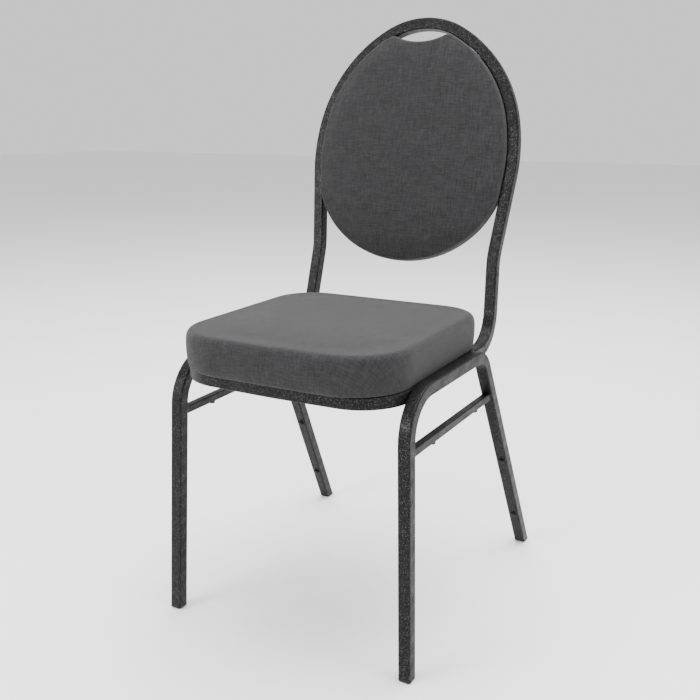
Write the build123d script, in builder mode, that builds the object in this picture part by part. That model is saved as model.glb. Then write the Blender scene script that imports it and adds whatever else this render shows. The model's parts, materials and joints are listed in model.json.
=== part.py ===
"""Stacking banquet chair: bent square-tube frame, boxed seat cushion and oval back pad.

Millimetres. +Z is up and +Y points to the chair's back. Left and right are those of someone
who stands before the chair and looks at its front, so right is +X. The origin lies on the
floor under the middle of the chair's overall box. Each physical piece is one solid, or one
group of identical solids.
"""
import math
import os

from build123d import *

# ---------------------------------------------------------------- driving dimensions
TUBE = 19.0             # outside width of the square frame tube
TUBE_CORNER = 2.5       # outside corner radius of the tube
WALL = 1.2              # wall of every tube
BORE_CORNER_MIN = 0.4   # least corner radius inside a tube
WELD_GAP = 0.4          # clearance left between tubes that lie side by side
TOUCH_GAP = 0.05        # hair's breadth left between faces that bear on each other

FLOOR_TO_TUBE = 6.0     # the legs are cut this far above the floor
FRONT_FOOT_X = 205.2    # half spacing of the front feet
FRONT_FOOT_Y = -233.163
LEG_BASE = 497.6        # front foot to rear foot, along one side
FRONT_LEAN = 0.035      # the front leg leans back by this much per mm of height
REAR_RAKE = 0.524       # the rear leg rakes backwards and down by this much
LOOP_SPLAY = 0.037      # both legs of a side splay outwards by this much
LOOP_TOE = 0.0143       # the two sides open out towards the rear by this much
LOOP_RAIL_Z = 411.0
FRONT_BEND_R = 66.0
REAR_BEND_R = 42.0
BRACE_Z = 334.0
BRACE = 12.0            # outside width of the square brace tube
BRACE_CORNER = 1.5

SEAT_RAIL_Z = 406.0
RAIL_JOINT_Y = FRONT_FOOT_Y + 65.0   # butt joint between the side rails and the front rail
FRONT_RAIL_Y = FRONT_FOOT_Y - 18.0   # front rail's middle, tube centre
FRONT_RAIL_BOW = 5.0    # the front rail bows forward by this much
FRONT_CORNER_R = 70.0
REAR_RAIL_Y = FRONT_FOOT_Y + 297.0
CROSS_BAR_Y = FRONT_FOOT_Y + 145.0
CROSS_BAR_WIDTH = 36.0
CROSS_BAR_THICK = 4.0
BAR_SCREW_X = 90.0
SEAT_TAB_X = 95.0
SEAT_TAB_LENGTH = 26.0
SEAT_TAB_WIDTH = 30.0
SEAT_TAB_CORNER_R = 4.0
FRONT_TAB_Y = FRONT_RAIL_Y + TUBE / 2 + 18.5
REAR_TAB_Y = REAR_RAIL_Y - TUBE / 2 - 14.0

STEM_HEIGHT = 22.0      # the glides' stems reach this far up inside the legs
STEM_GAP = 0.25
STEM_CORNER = 1.0
GLIDE_EDGE_R = 2.0
GLIDE_TIP_CORNER = 3.0
BUMPER_R = 5.0
BUMPER_HEIGHT = 4.0
BUMPER_EDGE_R = 1.6
FRONT_BUMPER_HEIGHTS = (217.0, 87.0)
REAR_BUMPER_HEIGHTS = (202.0, 76.0)
BRACE_BUMPER_PLACES = (95.0, 256.0)

BACK_FOOT_Y = FRONT_FOOT_Y + 369.9     # where the line of the back meets the seat rails
RECLINE = 0.216         # the back leans backwards by this much per mm of height
WAIST_X = 167.3         # half spacing of the uprights at the waist
WAIST_Z = 546.0
WAIST_BEND_R = 160.0
SEAT_BEND_R = 70.0
HOOP_TOP_Z = 927.5
CROWN_R, CROWN_TURN = 134.0, 28.9         # arc over the middle of the hoop, per side
SHOULDER_R, SHOULDER_TURN = 224.0, 48.4   # next arc on each side
FLANK_R = 290.0                           # long arc down to the straight uprights

SEAT_FRONT_Y = FRONT_FOOT_Y - 41.0
SEAT_BACK_Y = FRONT_FOOT_Y + 345.0
SEAT_HALF_WIDTH = 184.0
SEAT_BOW = 5.0          # the seat's front edge bows forward by this much
SEAT_FRONT_CORNER_R = 95.0
SEAT_REAR_CORNER_R = 76.0
SEAT_BASE_Z = SEAT_RAIL_Z + TUBE / 2 + 0.5
SEAT_TOP_Z = 475.0
SEAT_EDGE_R = 14.0
SEAT_BOARD_THICK = 12.0
SEAT_BOARD_INSET = 7.0
DUST_COVER_THICK = 0.4
DUST_COVER_INSET = 14.0
RECESS_GAP = 0.3        # clearance round a board inside its cushion
NUT_ROOM = 3.0          # height left over a board for the flanges of its nuts

PAD_BOTTOM_Z = 530.0
PAD_WAIST_Z = 686.0     # the pad's lower half is an ellipse, at its widest here
PAD_HALF_WIDTH = 174.0  # half width of that ellipse, which the hoop cuts off
PAD_WAIST_R = 60.0      # rounding where the ellipse leaves the hoop
PAD_GAP = 1.2           # clearance between the pad and the hoop
PAD_FRONT = 28.0        # front of the pad ahead of the tube's centre plane
PAD_EDGE_R = 10.0
BOARD_FRONT = 8.5
BOARD_REAR = -1.5
BOARD_INSET = 6.0
GRIP_HALF_WIDTH = 54.0  # the hand grip between the pad and the hoop
GRIP_DEPTH = 23.0       # from the hoop's inner face to the bottom of the grip
GRIP_TIP_R = 5.0
GRIP_RISE = 12.0        # the pad's top edge dips by this much in the grip
PANEL_REAR = -13.0
PANEL_FLOOR = -8.5
PANEL_RIM = -4.8
PANEL_RIM_WIDTH = 6.0    # width of the panel's raised rim
PANEL_EDGE_R = 2.5
PANEL_GAP = 4.0         # the rear panel is this much smaller than the pad, all round
BACK_TAB_REACH = 34.0
BACK_TAB_BREADTH = 26.0
BACK_TAB_CORNER_R = 3.0
TAB_HOLE_EDGE = 11.0    # from a back tab's tip to the middle of its hole
TAB_ROOT_GAP = 0.7
LOW_TAB_DROP = 24.0     # the low tabs sit this far below the end of the hoop's flank arc
HIGH_TAB_TURN = 34.0    # the high tabs sit this many degrees above the shoulder's end
CLIP_R = 5.0
CLIP_PLACES = ((70.0, 570.0), (110.0, 720.0), (60.0, 870.0))

TAB_THICK = 3.0
SCREW_R = 3.0           # bore of the nuts
SHANK_R = 2.6           # root of the screws' thread
SCREW_HOLE_R = 3.6
BOARD_HOLE_R = 4.0
SEAT_SCREW_HEAD_R, SEAT_SCREW_HEAD_HEIGHT, SEAT_SCREW_EDGE_R = 6.0, 3.4, 1.5
BACK_SCREW_HEAD_R, BACK_SCREW_HEAD_HEIGHT, BACK_SCREW_EDGE_R = 5.5, 2.6, 1.0
SCREW_SHORTFALL = 1.0   # the screws end this far below the far face of their board
TEE_NUT_R = 9.5
NUT_FLANGE = 1.4
BARREL_R = 3.7
SEAT_BARREL = 9.0
BACK_BARREL = 7.0
STANDING = (Align.CENTER, Align.CENTER, Align.MIN)
HANGING = (Align.CENTER, Align.CENTER, Align.MAX)

# ---------------------------------------------------------------- shared planes
SLOPE = math.hypot(1.0, RECLINE)
BACK_PLANE = Plane(
    origin=(0, BACK_FOOT_Y, SEAT_RAIL_Z),
    x_dir=(1, 0, 0),
    z_dir=(0, -1, RECLINE),
)
LOOP_PLANE = Plane(
    origin=(FRONT_FOOT_X, FRONT_FOOT_Y, 0),
    x_dir=(LOOP_TOE, 1, 0),
    z_dir=(1, -LOOP_TOE, LOOP_SPLAY),
)


def up_back(height):
    """Distance up the reclined back plane of a point at this height above the floor."""
    return (height - SEAT_RAIL_Z) * SLOPE


def loop_x(y):
    """Half spacing of the leg loops' rails at this place along the chair."""
    return FRONT_FOOT_X + LOOP_TOE * (y - FRONT_FOOT_Y) - LOOP_SPLAY * LOOP_RAIL_Z


def rail_x(y):
    """Half spacing of the seat rails, which lie against the inside of the leg loops."""
    return loop_x(y) - TUBE - WELD_GAP


def finish(part, name):
    """Label a finished piece and write its STEP file."""
    part.label = name
    export_step(part, f"parts/{name}.step")


def tube_along(path, width, corner, side):
    """Hollow square tube along a path; side is a direction that lies flat on one face."""
    start = Plane(origin=path @ 0, x_dir=side, z_dir=path % 0)
    with BuildPart() as tube:
        with BuildSketch(start):
            RectangleRounded(width, width, corner)
            inner = width - 2 * WALL
            bore_corner = max(corner - WALL, BORE_CORNER_MIN)
            RectangleRounded(inner, inner, bore_corner, mode=Mode.SUBTRACT)
        sweep(path=path)
    return tube.part


# ---------------------------------------------------------------- hoop geometry
def polar(angle):
    """Outward unit normal of the hoop where it has turned by this angle from its crown."""
    return Vector(math.sin(math.radians(angle)), math.cos(math.radians(angle)))


HOOP_TOP = Vector(0, up_back(HOOP_TOP_Z))
SHOULDER_END = CROWN_TURN + SHOULDER_TURN
CROWN_CENTRE = HOOP_TOP - Vector(0, CROWN_R)
SHOULDER_CENTRE = CROWN_CENTRE + polar(CROWN_TURN) * (CROWN_R - SHOULDER_R)
FLANK_CENTRE = SHOULDER_CENTRE + polar(SHOULDER_END) * (SHOULDER_R - FLANK_R)
WAIST = Vector(WAIST_X, up_back(WAIST_Z))
TO_WAIST = WAIST - FLANK_CENTRE
FLANK_END = (
    90
    - math.degrees(math.atan2(TO_WAIST.Y, TO_WAIST.X))
    - math.degrees(math.acos(FLANK_R / TO_WAIST.length))
)
SIDE_NORMAL = polar(FLANK_END)


def hoop_arcs(inset):
    """Right-hand arcs of the hoop, drawn this far inside the tube's centre line."""
    CenterArc(CROWN_CENTRE, CROWN_R - inset, 90 - CROWN_TURN, CROWN_TURN)
    CenterArc(SHOULDER_CENTRE, SHOULDER_R - inset, 90 - SHOULDER_END, SHOULDER_TURN)
    CenterArc(
        FLANK_CENTRE, FLANK_R - inset, 90 - FLANK_END, FLANK_END - SHOULDER_END
    )


def pad_face(inset):
    """Oval face of the back pad as a flat sketch, shrunk all round by this much."""
    gap = TUBE / 2 + PAD_GAP + inset
    waist_height = up_back(PAD_WAIST_Z)
    top = up_back(HOOP_TOP_Z)
    side_end = WAIST - SIDE_NORMAL * gap
    below_pad = up_back(PAD_BOTTOM_Z) - TUBE
    with BuildSketch() as lower_limit:
        with Locations((0, waist_height)):
            Ellipse(PAD_HALF_WIDTH - inset, waist_height - up_back(PAD_BOTTOM_Z) - inset)
        with Locations((0, (waist_height + top) / 2)):
            Rectangle(2 * PAD_HALF_WIDTH + 2 * TUBE, top - waist_height)
    with BuildSketch() as face:
        with BuildLine():
            hoop_arcs(gap)
            Line(FLANK_CENTRE + SIDE_NORMAL * (FLANK_R - gap), side_end)
            Polyline(side_end, (side_end.X, below_pad), (0, below_pad))
            mirror(about=Plane.YZ)
        make_face()
        add(lower_limit.sketch, mode=Mode.INTERSECT)
        grip_radius = (GRIP_HALF_WIDTH**2 + GRIP_RISE**2) / (2 * GRIP_RISE)
        with Locations((0, top - TUBE / 2 - GRIP_DEPTH + grip_radius)):
            Circle(grip_radius + inset, mode=Mode.SUBTRACT)
        fillet(face.vertices().sort_by(Axis.Y)[-2:], GRIP_TIP_R)
        fillet(face.vertices().sort_by(Axis.Y)[:2], PAD_WAIST_R)
    return face.sketch


# ---------------------------------------------------------------- build
os.makedirs("parts", exist_ok=True)

# back frame: one tube forms the hoop, both uprights and both side rails
corner_point = (rail_x(BACK_FOOT_Y), BACK_FOOT_Y, SEAT_RAIL_Z)
rail_end = (rail_x(RAIL_JOINT_Y), RAIL_JOINT_Y, SEAT_RAIL_Z)
flank_foot = BACK_PLANE.from_local_coords(FLANK_CENTRE + SIDE_NORMAL * FLANK_R)
with BuildLine() as side_path:
    FilletPolyline(
        rail_end,
        corner_point,
        BACK_PLANE.from_local_coords(WAIST),
        flank_foot,
        radius=(SEAT_BEND_R, WAIST_BEND_R),
    )
with BuildLine() as hoop_path:
    hoop_arcs(0)
half_edges = side_path.edges() + BACK_PLANE.from_local_coords(hoop_path.line).edges()
back_path = Wire(half_edges + [edge.mirror(Plane.YZ) for edge in half_edges])
back_frame = tube_along(back_path, TUBE, TUBE_CORNER, (0, 0, 1))
finish(back_frame, "back_frame")

# seat front rail: a bowed bar with a long bend at each end, butted to the side rails
front_corner_x = rail_x(FRONT_RAIL_Y)
front_corner_y = FRONT_RAIL_Y + FRONT_RAIL_BOW
with BuildLine() as front_path:
    FilletPolyline(
        (-rail_x(RAIL_JOINT_Y), RAIL_JOINT_Y - WELD_GAP, SEAT_RAIL_Z),
        (-front_corner_x, front_corner_y, SEAT_RAIL_Z),
        (0, FRONT_RAIL_Y, SEAT_RAIL_Z),
        (front_corner_x, front_corner_y, SEAT_RAIL_Z),
        (rail_x(RAIL_JOINT_Y), RAIL_JOINT_Y - WELD_GAP, SEAT_RAIL_Z),
        radius=(FRONT_CORNER_R, 900.0, FRONT_CORNER_R),
    )
finish(tube_along(front_path.wire(), TUBE, TUBE_CORNER, (0, 0, 1)), "seat_front_rail")

# rear rail: a straight tube across the frame under the back of the seat
rear_half = rail_x(REAR_RAIL_Y) - TUBE / 2 - WELD_GAP
with BuildLine() as rear_path:
    Line((-rear_half, REAR_RAIL_Y, SEAT_RAIL_Z), (rear_half, REAR_RAIL_Y, SEAT_RAIL_Z))
finish(tube_along(rear_path.wire(), TUBE, TUBE_CORNER, (0, 0, 1)), "seat_rear_rail")

# cross bar: flat steel across the frame, level with the top of the rails
bar_half = rail_x(CROSS_BAR_Y) - TUBE / 2 - WELD_GAP
bar_top = SEAT_RAIL_Z + TUBE / 2
with BuildPart() as seat_cross_bar:
    with BuildSketch(Plane.XY.offset(bar_top)):
        with Locations((0, CROSS_BAR_Y)):
            Rectangle(2 * bar_half, CROSS_BAR_WIDTH)
        with Locations((-BAR_SCREW_X, CROSS_BAR_Y), (BAR_SCREW_X, CROSS_BAR_Y)):
            Circle(SCREW_HOLE_R, mode=Mode.SUBTRACT)
    extrude(amount=-CROSS_BAR_THICK)
finish(seat_cross_bar.part, "seat_cross_bar")

# tabs: four flat ears inside the seat frame that take the other seat screws
with BuildPart() as seat_mount_tabs:
    for tab_y in (FRONT_TAB_Y, REAR_TAB_Y):
        with BuildSketch(Plane.XY.offset(bar_top)):
            with Locations((-SEAT_TAB_X, tab_y), (SEAT_TAB_X, tab_y)):
                RectangleRounded(SEAT_TAB_WIDTH, SEAT_TAB_LENGTH, SEAT_TAB_CORNER_R)
                Circle(SCREW_HOLE_R, mode=Mode.SUBTRACT)
        extrude(amount=-TAB_THICK)
finish(seat_mount_tabs.part, "seat_mount_tabs")

# leg loops: front leg, rail and rear leg bent from one tube, which is drawn to below the
# floor and then cut off level
loop_points = [
    (-FRONT_LEAN * TUBE, -TUBE),
    (FRONT_LEAN * LOOP_RAIL_Z, LOOP_RAIL_Z),
    (LEG_BASE - REAR_RAKE * LOOP_RAIL_Z, LOOP_RAIL_Z),
    (LEG_BASE + REAR_RAKE * TUBE, -TUBE),
]
with BuildLine(LOOP_PLANE) as loop_path:
    FilletPolyline(*loop_points, radius=(FRONT_BEND_R, REAR_BEND_R))
with BuildPart() as right_leg_loop:
    add(tube_along(loop_path.wire(), TUBE, TUBE_CORNER, LOOP_PLANE.z_dir))
    split(bisect_by=Plane.XY.offset(FLOOR_TO_TUBE), keep=Keep.TOP)
with BuildPart() as left_leg_loop:
    add(right_leg_loop.part.mirror(Plane.YZ))
finish(right_leg_loop.part, "right_leg_loop")
finish(left_leg_loop.part, "left_leg_loop")

# braces: thin square tubes between the two legs of each loop, mitred to the legs
front_face_u = FRONT_LEAN * BRACE_Z + TUBE / 2 + WELD_GAP
rear_face_u = LEG_BASE - REAR_RAKE * BRACE_Z - TUBE / 2 * math.hypot(1, REAR_RAKE) - WELD_GAP
half = BRACE / 2
bore = half - WALL
with BuildPart() as right_brace:
    with BuildSketch(LOOP_PLANE):
        Polygon(
            (front_face_u - FRONT_LEAN * half, BRACE_Z - half),
            (rear_face_u + REAR_RAKE * half, BRACE_Z - half),
            (rear_face_u - REAR_RAKE * half, BRACE_Z + half),
            (front_face_u + FRONT_LEAN * half, BRACE_Z + half),
            align=None,
        )
    extrude(amount=half, both=True)
    long_edges = right_brace.edges().sort_by(SortBy.LENGTH)[-4:]
    fillet(long_edges, BRACE_CORNER)
    with BuildSketch(LOOP_PLANE):
        Polygon(
            (front_face_u - TUBE, BRACE_Z - bore),
            (rear_face_u + TUBE, BRACE_Z - bore),
            (rear_face_u + TUBE, BRACE_Z + bore),
            (front_face_u - TUBE, BRACE_Z + bore),
            align=None,
        )
    extrude(amount=bore, both=True, mode=Mode.SUBTRACT)
with BuildPart() as left_brace:
    add(right_brace.part.mirror(Plane.YZ))
finish(right_brace.part, "right_brace")
finish(left_brace.part, "left_brace")

# glides: plastic feet with a cap under the tube and a stem pressed up inside it
def leg_plane(lean, start_u, height):
    """Level plane across a leg, centred on it, and how far the leg moves per mm up."""
    centre = LOOP_PLANE.from_local_coords((start_u + lean * height, height))
    drift_u = LOOP_PLANE.from_local_coords((start_u + lean * (height + 1), height + 1)) - centre
    plane = Plane(origin=centre, x_dir=(1, -LOOP_TOE, 0), z_dir=(0, 0, 1))
    return plane, drift_u / drift_u.Z


def glide(lean, start_u):
    """One glide: its level sections follow the leg's slope from the floor upwards."""
    plane, drift = leg_plane(lean, start_u, 0.0)
    stretch = math.hypot(1.0, lean)

    def section(height, width, corner):
        """Level section of the leg's square at this height, as a sketch."""
        origin = plane.origin + drift * (height - plane.origin.Z)
        with BuildSketch(Plane(origin, plane.x_dir, plane.z_dir)) as face:
            RectangleRounded(width, width * stretch, corner)
        return face.sketch

    stem = TUBE - 2 * WALL - 2 * STEM_GAP
    with BuildPart() as piece:
        tip = section(0, TUBE - 2 * GLIDE_EDGE_R, GLIDE_TIP_CORNER)
        wide = section(GLIDE_EDGE_R, TUBE, TUBE_CORNER)
        loft([tip, wide])
        loft([wide, section(FLOOR_TO_TUBE, TUBE, TUBE_CORNER)])
        loft([
            section(FLOOR_TO_TUBE, stem, STEM_CORNER),
            section(FLOOR_TO_TUBE + STEM_HEIGHT, stem, STEM_CORNER),
        ])
    return piece.part


glides = {
    "front": glide(FRONT_LEAN, 0.0),
    "rear": glide(-REAR_RAKE, LEG_BASE),
}
for end, piece in glides.items():
    with BuildPart() as right_glide:
        add(piece)
    with BuildPart() as left_glide:
        add(piece.mirror(Plane.YZ))
    finish(right_glide.part, f"{end}_right_glide")
    finish(left_glide.part, f"{end}_left_glide")

# stacking bumpers: small round buttons on the legs and under the braces
def bumper(u, v, direction):
    """One button that stands on a tube's face at a place in the loop plane."""
    origin = LOOP_PLANE.from_local_coords((u, v))
    axis = LOOP_PLANE.from_local_coords((u + direction[0], v + direction[1])) - origin
    with BuildPart(Plane(origin=origin, z_dir=axis)) as button:
        Cylinder(BUMPER_R, BUMPER_HEIGHT, align=STANDING)
        rim = button.edges().filter_by(GeomType.CIRCLE).sort_by_distance(origin)[-1]
        fillet(rim, BUMPER_EDGE_R)
    return button.part


def leg_buttons(lean, start_u, heights, side):
    """Buttons on the face of a leg that looks towards the other leg."""
    length = math.hypot(1.0, lean)
    direction = (side / length, -side * lean / length)
    reach = TUBE / 2 + TOUCH_GAP
    places = [(start_u + lean * v, v) for v in heights]
    return [
        bumper(u + direction[0] * reach, v + direction[1] * reach, direction)
        for u, v in places
    ]


groups = {
    "front_{}_leg_bumpers": leg_buttons(FRONT_LEAN, 0.0, FRONT_BUMPER_HEIGHTS, 1),
    "rear_{}_leg_bumpers": leg_buttons(-REAR_RAKE, LEG_BASE, REAR_BUMPER_HEIGHTS, -1),
    "{}_brace_bumpers": [
        bumper(u, BRACE_Z - half - TOUCH_GAP, (0, -1)) for u in BRACE_BUMPER_PLACES
    ],
}
for pattern, buttons in groups.items():
    with BuildPart() as right_buttons:
        add(buttons)
    with BuildPart() as left_buttons:
        add([button.mirror(Plane.YZ) for button in buttons])
    finish(right_buttons.part, pattern.format("right"))
    finish(left_buttons.part, pattern.format("left"))


# ---------------------------------------------------------------- seat
def seat_outline(inset):
    """Plan of the seat with its bowed front, as a flat sketch shrunk all round by this much."""
    side = SEAT_HALF_WIDTH - inset
    front = SEAT_FRONT_Y + inset
    back = SEAT_BACK_Y - inset
    with BuildSketch() as plan:
        with BuildLine():
            ThreePointArc((-side, front + SEAT_BOW), (0, front), (side, front + SEAT_BOW))
            Polyline(
                (side, front + SEAT_BOW), (side, back), (-side, back), (-side, front + SEAT_BOW)
            )
        make_face()
        fillet(plan.vertices().sort_by(Axis.Y)[:2], SEAT_FRONT_CORNER_R - inset)
        fillet(plan.vertices().sort_by(Axis.Y)[-2:], SEAT_REAR_CORNER_R - inset)
    return plan.sketch


screw_places = [
    (side * x, y)
    for side in (-1, 1)
    for x, y in ((SEAT_TAB_X, FRONT_TAB_Y), (BAR_SCREW_X, CROSS_BAR_Y), (SEAT_TAB_X, REAR_TAB_Y))
]
with BuildPart() as seat_board:
    with BuildSketch(Plane.XY.offset(SEAT_BASE_Z)):
        add(seat_outline(SEAT_BOARD_INSET))
        with Locations(*screw_places):
            Circle(BOARD_HOLE_R, mode=Mode.SUBTRACT)
    extrude(amount=SEAT_BOARD_THICK)
finish(seat_board.part, "seat_board")

with BuildPart() as seat_cushion:
    with BuildSketch(Plane.XY.offset(SEAT_BASE_Z)):
        add(seat_outline(0))
    extrude(amount=SEAT_TOP_Z - SEAT_BASE_Z)
    fillet(seat_cushion.faces().sort_by(Axis.Z)[-1].edges(), SEAT_EDGE_R)
    with BuildSketch(Plane.XY.offset(SEAT_BASE_Z)):
        add(seat_outline(SEAT_BOARD_INSET - RECESS_GAP))
    extrude(amount=SEAT_BOARD_THICK + NUT_ROOM, mode=Mode.SUBTRACT)
    # the skirt steps over the rails of the two leg loops
    step_x = rail_x(FRONT_FOOT_Y) + TUBE / 2
    step_z = LOOP_RAIL_Z + TUBE / 2 + WELD_GAP
    with BuildSketch(Plane.XY.offset(step_z)):
        with Locations((-step_x - TUBE, 0), (step_x + TUBE, 0)):
            Rectangle(2 * TUBE, 2 * SEAT_HALF_WIDTH + 4 * TUBE)
    extrude(amount=-TUBE, mode=Mode.SUBTRACT)
finish(seat_cushion.part, "seat_cushion")

# dust cover: thin cloth stapled to the board's underside and held down by the frame
with BuildPart() as seat_dust_cover:
    with BuildSketch(Plane.XY.offset(SEAT_BASE_Z - TOUCH_GAP)):
        add(seat_outline(DUST_COVER_INSET))
        with Locations(*screw_places):
            Circle(BOARD_HOLE_R, mode=Mode.SUBTRACT)
    extrude(amount=-DUST_COVER_THICK)
finish(seat_dust_cover.part, "seat_dust_cover")

# screws and tee nuts: one of each at every fixing place
def pan_screw(plane, point, head_radius, head_height, edge_radius, reach):
    """Screw whose head hangs below a plane and whose shank stands this far above it."""
    with BuildPart(plane) as screw:
        with Locations(point):
            Cylinder(head_radius, head_height, align=HANGING)
        rims = screw.edges().filter_by(GeomType.CIRCLE)
        fillet(rims.sort_by(Axis(plane.origin, plane.z_dir))[0], edge_radius)
        with Locations(point):
            Cylinder(SHANK_R, reach, align=STANDING)
    return screw.part


def seat_screw(x, y):
    """Screw that comes up through a tab or the cross bar into the seat board."""
    thick = CROSS_BAR_THICK if y == CROSS_BAR_Y else TAB_THICK
    return pan_screw(
        Plane.XY.offset(bar_top - thick - TOUCH_GAP), (x, y),
        SEAT_SCREW_HEAD_R, SEAT_SCREW_HEAD_HEIGHT, SEAT_SCREW_EDGE_R,
        thick + SEAT_BOARD_THICK - SCREW_SHORTFALL,
    )


def tee_nut(plane, point, barrel):
    """Threaded barrel below a plane, with a round flange that bears on the board there."""
    with BuildPart(plane) as nut:
        with Locations(point):
            Cylinder(TEE_NUT_R, NUT_FLANGE, align=STANDING)
            Cylinder(BARREL_R, barrel, align=HANGING)
            Cylinder(SCREW_R, 3 * barrel, mode=Mode.SUBTRACT)
    return nut.part


board_top = Plane.XY.offset(SEAT_BASE_Z + SEAT_BOARD_THICK + TOUCH_GAP)
with BuildPart() as seat_screws:
    add([seat_screw(x, y) for x, y in screw_places])
finish(seat_screws.part, "seat_screws")
with BuildPart() as seat_tee_nuts:
    add([tee_nut(board_top, place, SEAT_BARREL) for place in screw_places])
finish(seat_tee_nuts.part, "seat_tee_nuts")

# ---------------------------------------------------------------- back
with BuildPart() as back_pad:
    with BuildSketch(BACK_PLANE.offset(BOARD_REAR)):
        add(pad_face(0))
    extrude(amount=PAD_FRONT - BOARD_REAR)
    fillet(back_pad.faces().sort_by(Axis(BACK_PLANE.origin, BACK_PLANE.z_dir))[-1].edges(),
           PAD_EDGE_R)
    with BuildSketch(BACK_PLANE.offset(BOARD_REAR)):
        add(pad_face(BOARD_INSET - RECESS_GAP))
    extrude(amount=BOARD_FRONT - BOARD_REAR + NUT_ROOM, mode=Mode.SUBTRACT)
finish(back_pad.part, "back_pad")

# the board's fixings: two tabs low on the uprights and two high on the hoop
tab_angles = (SHOULDER_END - HIGH_TAB_TURN, FLANK_END)


def tab_root(angle):
    """Point on the hoop's inner face where a tab is welded."""
    if angle < SHOULDER_END:
        return SHOULDER_CENTRE + polar(angle) * (SHOULDER_R - TUBE / 2)
    down_the_side = Vector(SIDE_NORMAL.Y, -SIDE_NORMAL.X)
    return FLANK_CENTRE + SIDE_NORMAL * (FLANK_R - TUBE / 2) + down_the_side * LOW_TAB_DROP


tab_screws = []
for angle in tab_angles:
    hole = tab_root(angle) - polar(angle) * (BACK_TAB_REACH - TAB_HOLE_EDGE)
    tab_screws += [(hole.X, hole.Y), (-hole.X, hole.Y)]

with BuildPart() as back_board:
    with BuildSketch(BACK_PLANE.offset(BOARD_REAR)):
        add(pad_face(BOARD_INSET))
        with Locations(*tab_screws):
            Circle(BOARD_HOLE_R, mode=Mode.SUBTRACT)
    extrude(amount=BOARD_FRONT - BOARD_REAR)
finish(back_board.part, "back_board")

with BuildPart() as back_mount_tabs:
    for angle in tab_angles:
        centre = tab_root(angle) - polar(angle) * (BACK_TAB_REACH / 2 + TAB_ROOT_GAP)
        with BuildSketch(BACK_PLANE.offset(BOARD_REAR - 2 * TOUCH_GAP)):
            for side in (1, -1):
                with Locations(Location((side * centre.X, centre.Y), side * (90 - angle))):
                    RectangleRounded(BACK_TAB_REACH, BACK_TAB_BREADTH, BACK_TAB_CORNER_R)
            with Locations(*tab_screws):
                Circle(SCREW_HOLE_R, mode=Mode.SUBTRACT)
        extrude(amount=-TAB_THICK)
finish(back_mount_tabs.part, "back_mount_tabs")

under_tabs = BACK_PLANE.offset(BOARD_REAR - 3 * TOUCH_GAP - TAB_THICK)
screw_reach = TAB_THICK + BOARD_FRONT - BOARD_REAR - SCREW_SHORTFALL
with BuildPart() as back_screws:
    add([
        pan_screw(
            under_tabs, point, BACK_SCREW_HEAD_R, BACK_SCREW_HEAD_HEIGHT, BACK_SCREW_EDGE_R,
            screw_reach,
        )
        for point in tab_screws
    ])
finish(back_screws.part, "back_screws")

board_face = BACK_PLANE.offset(BOARD_FRONT + TOUCH_GAP)
with BuildPart() as back_tee_nuts:
    add([tee_nut(board_face, point, BACK_BARREL) for point in tab_screws])
finish(back_tee_nuts.part, "back_tee_nuts")

# rear panel: a covered tray that hides the tabs, held to the board by push clips
with BuildPart() as back_rear_panel:
    with BuildSketch(BACK_PLANE.offset(PANEL_REAR)):
        add(pad_face(PANEL_GAP))
    extrude(amount=PANEL_FLOOR - PANEL_REAR)
    fillet(
        back_rear_panel.faces().sort_by(Axis(BACK_PLANE.origin, BACK_PLANE.z_dir))[0].edges(),
        PANEL_EDGE_R,
    )
    with BuildSketch(BACK_PLANE.offset(PANEL_FLOOR)):
        add(pad_face(PANEL_GAP))
    extrude(amount=PANEL_RIM - PANEL_FLOOR)
    with BuildSketch(BACK_PLANE.offset(PANEL_FLOOR)):
        add(pad_face(PANEL_GAP + PANEL_RIM_WIDTH))
    extrude(amount=PANEL_RIM - PANEL_FLOOR, mode=Mode.SUBTRACT)
finish(back_rear_panel.part, "back_rear_panel")

with BuildPart() as back_panel_clips:
    with BuildSketch(BACK_PLANE.offset(PANEL_FLOOR + TOUCH_GAP)):
        for spread, height in CLIP_PLACES:
            with Locations((-spread, up_back(height)), (spread, up_back(height))):
                Circle(CLIP_R)
    extrude(amount=BOARD_REAR - PANEL_FLOOR - 2 * TOUCH_GAP)
finish(back_panel_clips.part, "back_panel_clips")
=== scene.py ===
"""Looks of an upholstered stacking chair, built around its CAD frame.

The bent steel tubes, glides and bumpers come from the frame and are dressed here. The seat
cushion, the back pad, its rear panel and the dust cover are modelled as soft goods, and the
small repeated details (screws, staples, weld beads) come from Geometry Nodes.
"""

import json
import logging
import math
from collections.abc import Callable, Iterable, Sequence
from dataclasses import dataclass, field
from enum import Enum

import bmesh
import bpy
import numpy as np
from mathutils import Matrix, Vector

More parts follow.
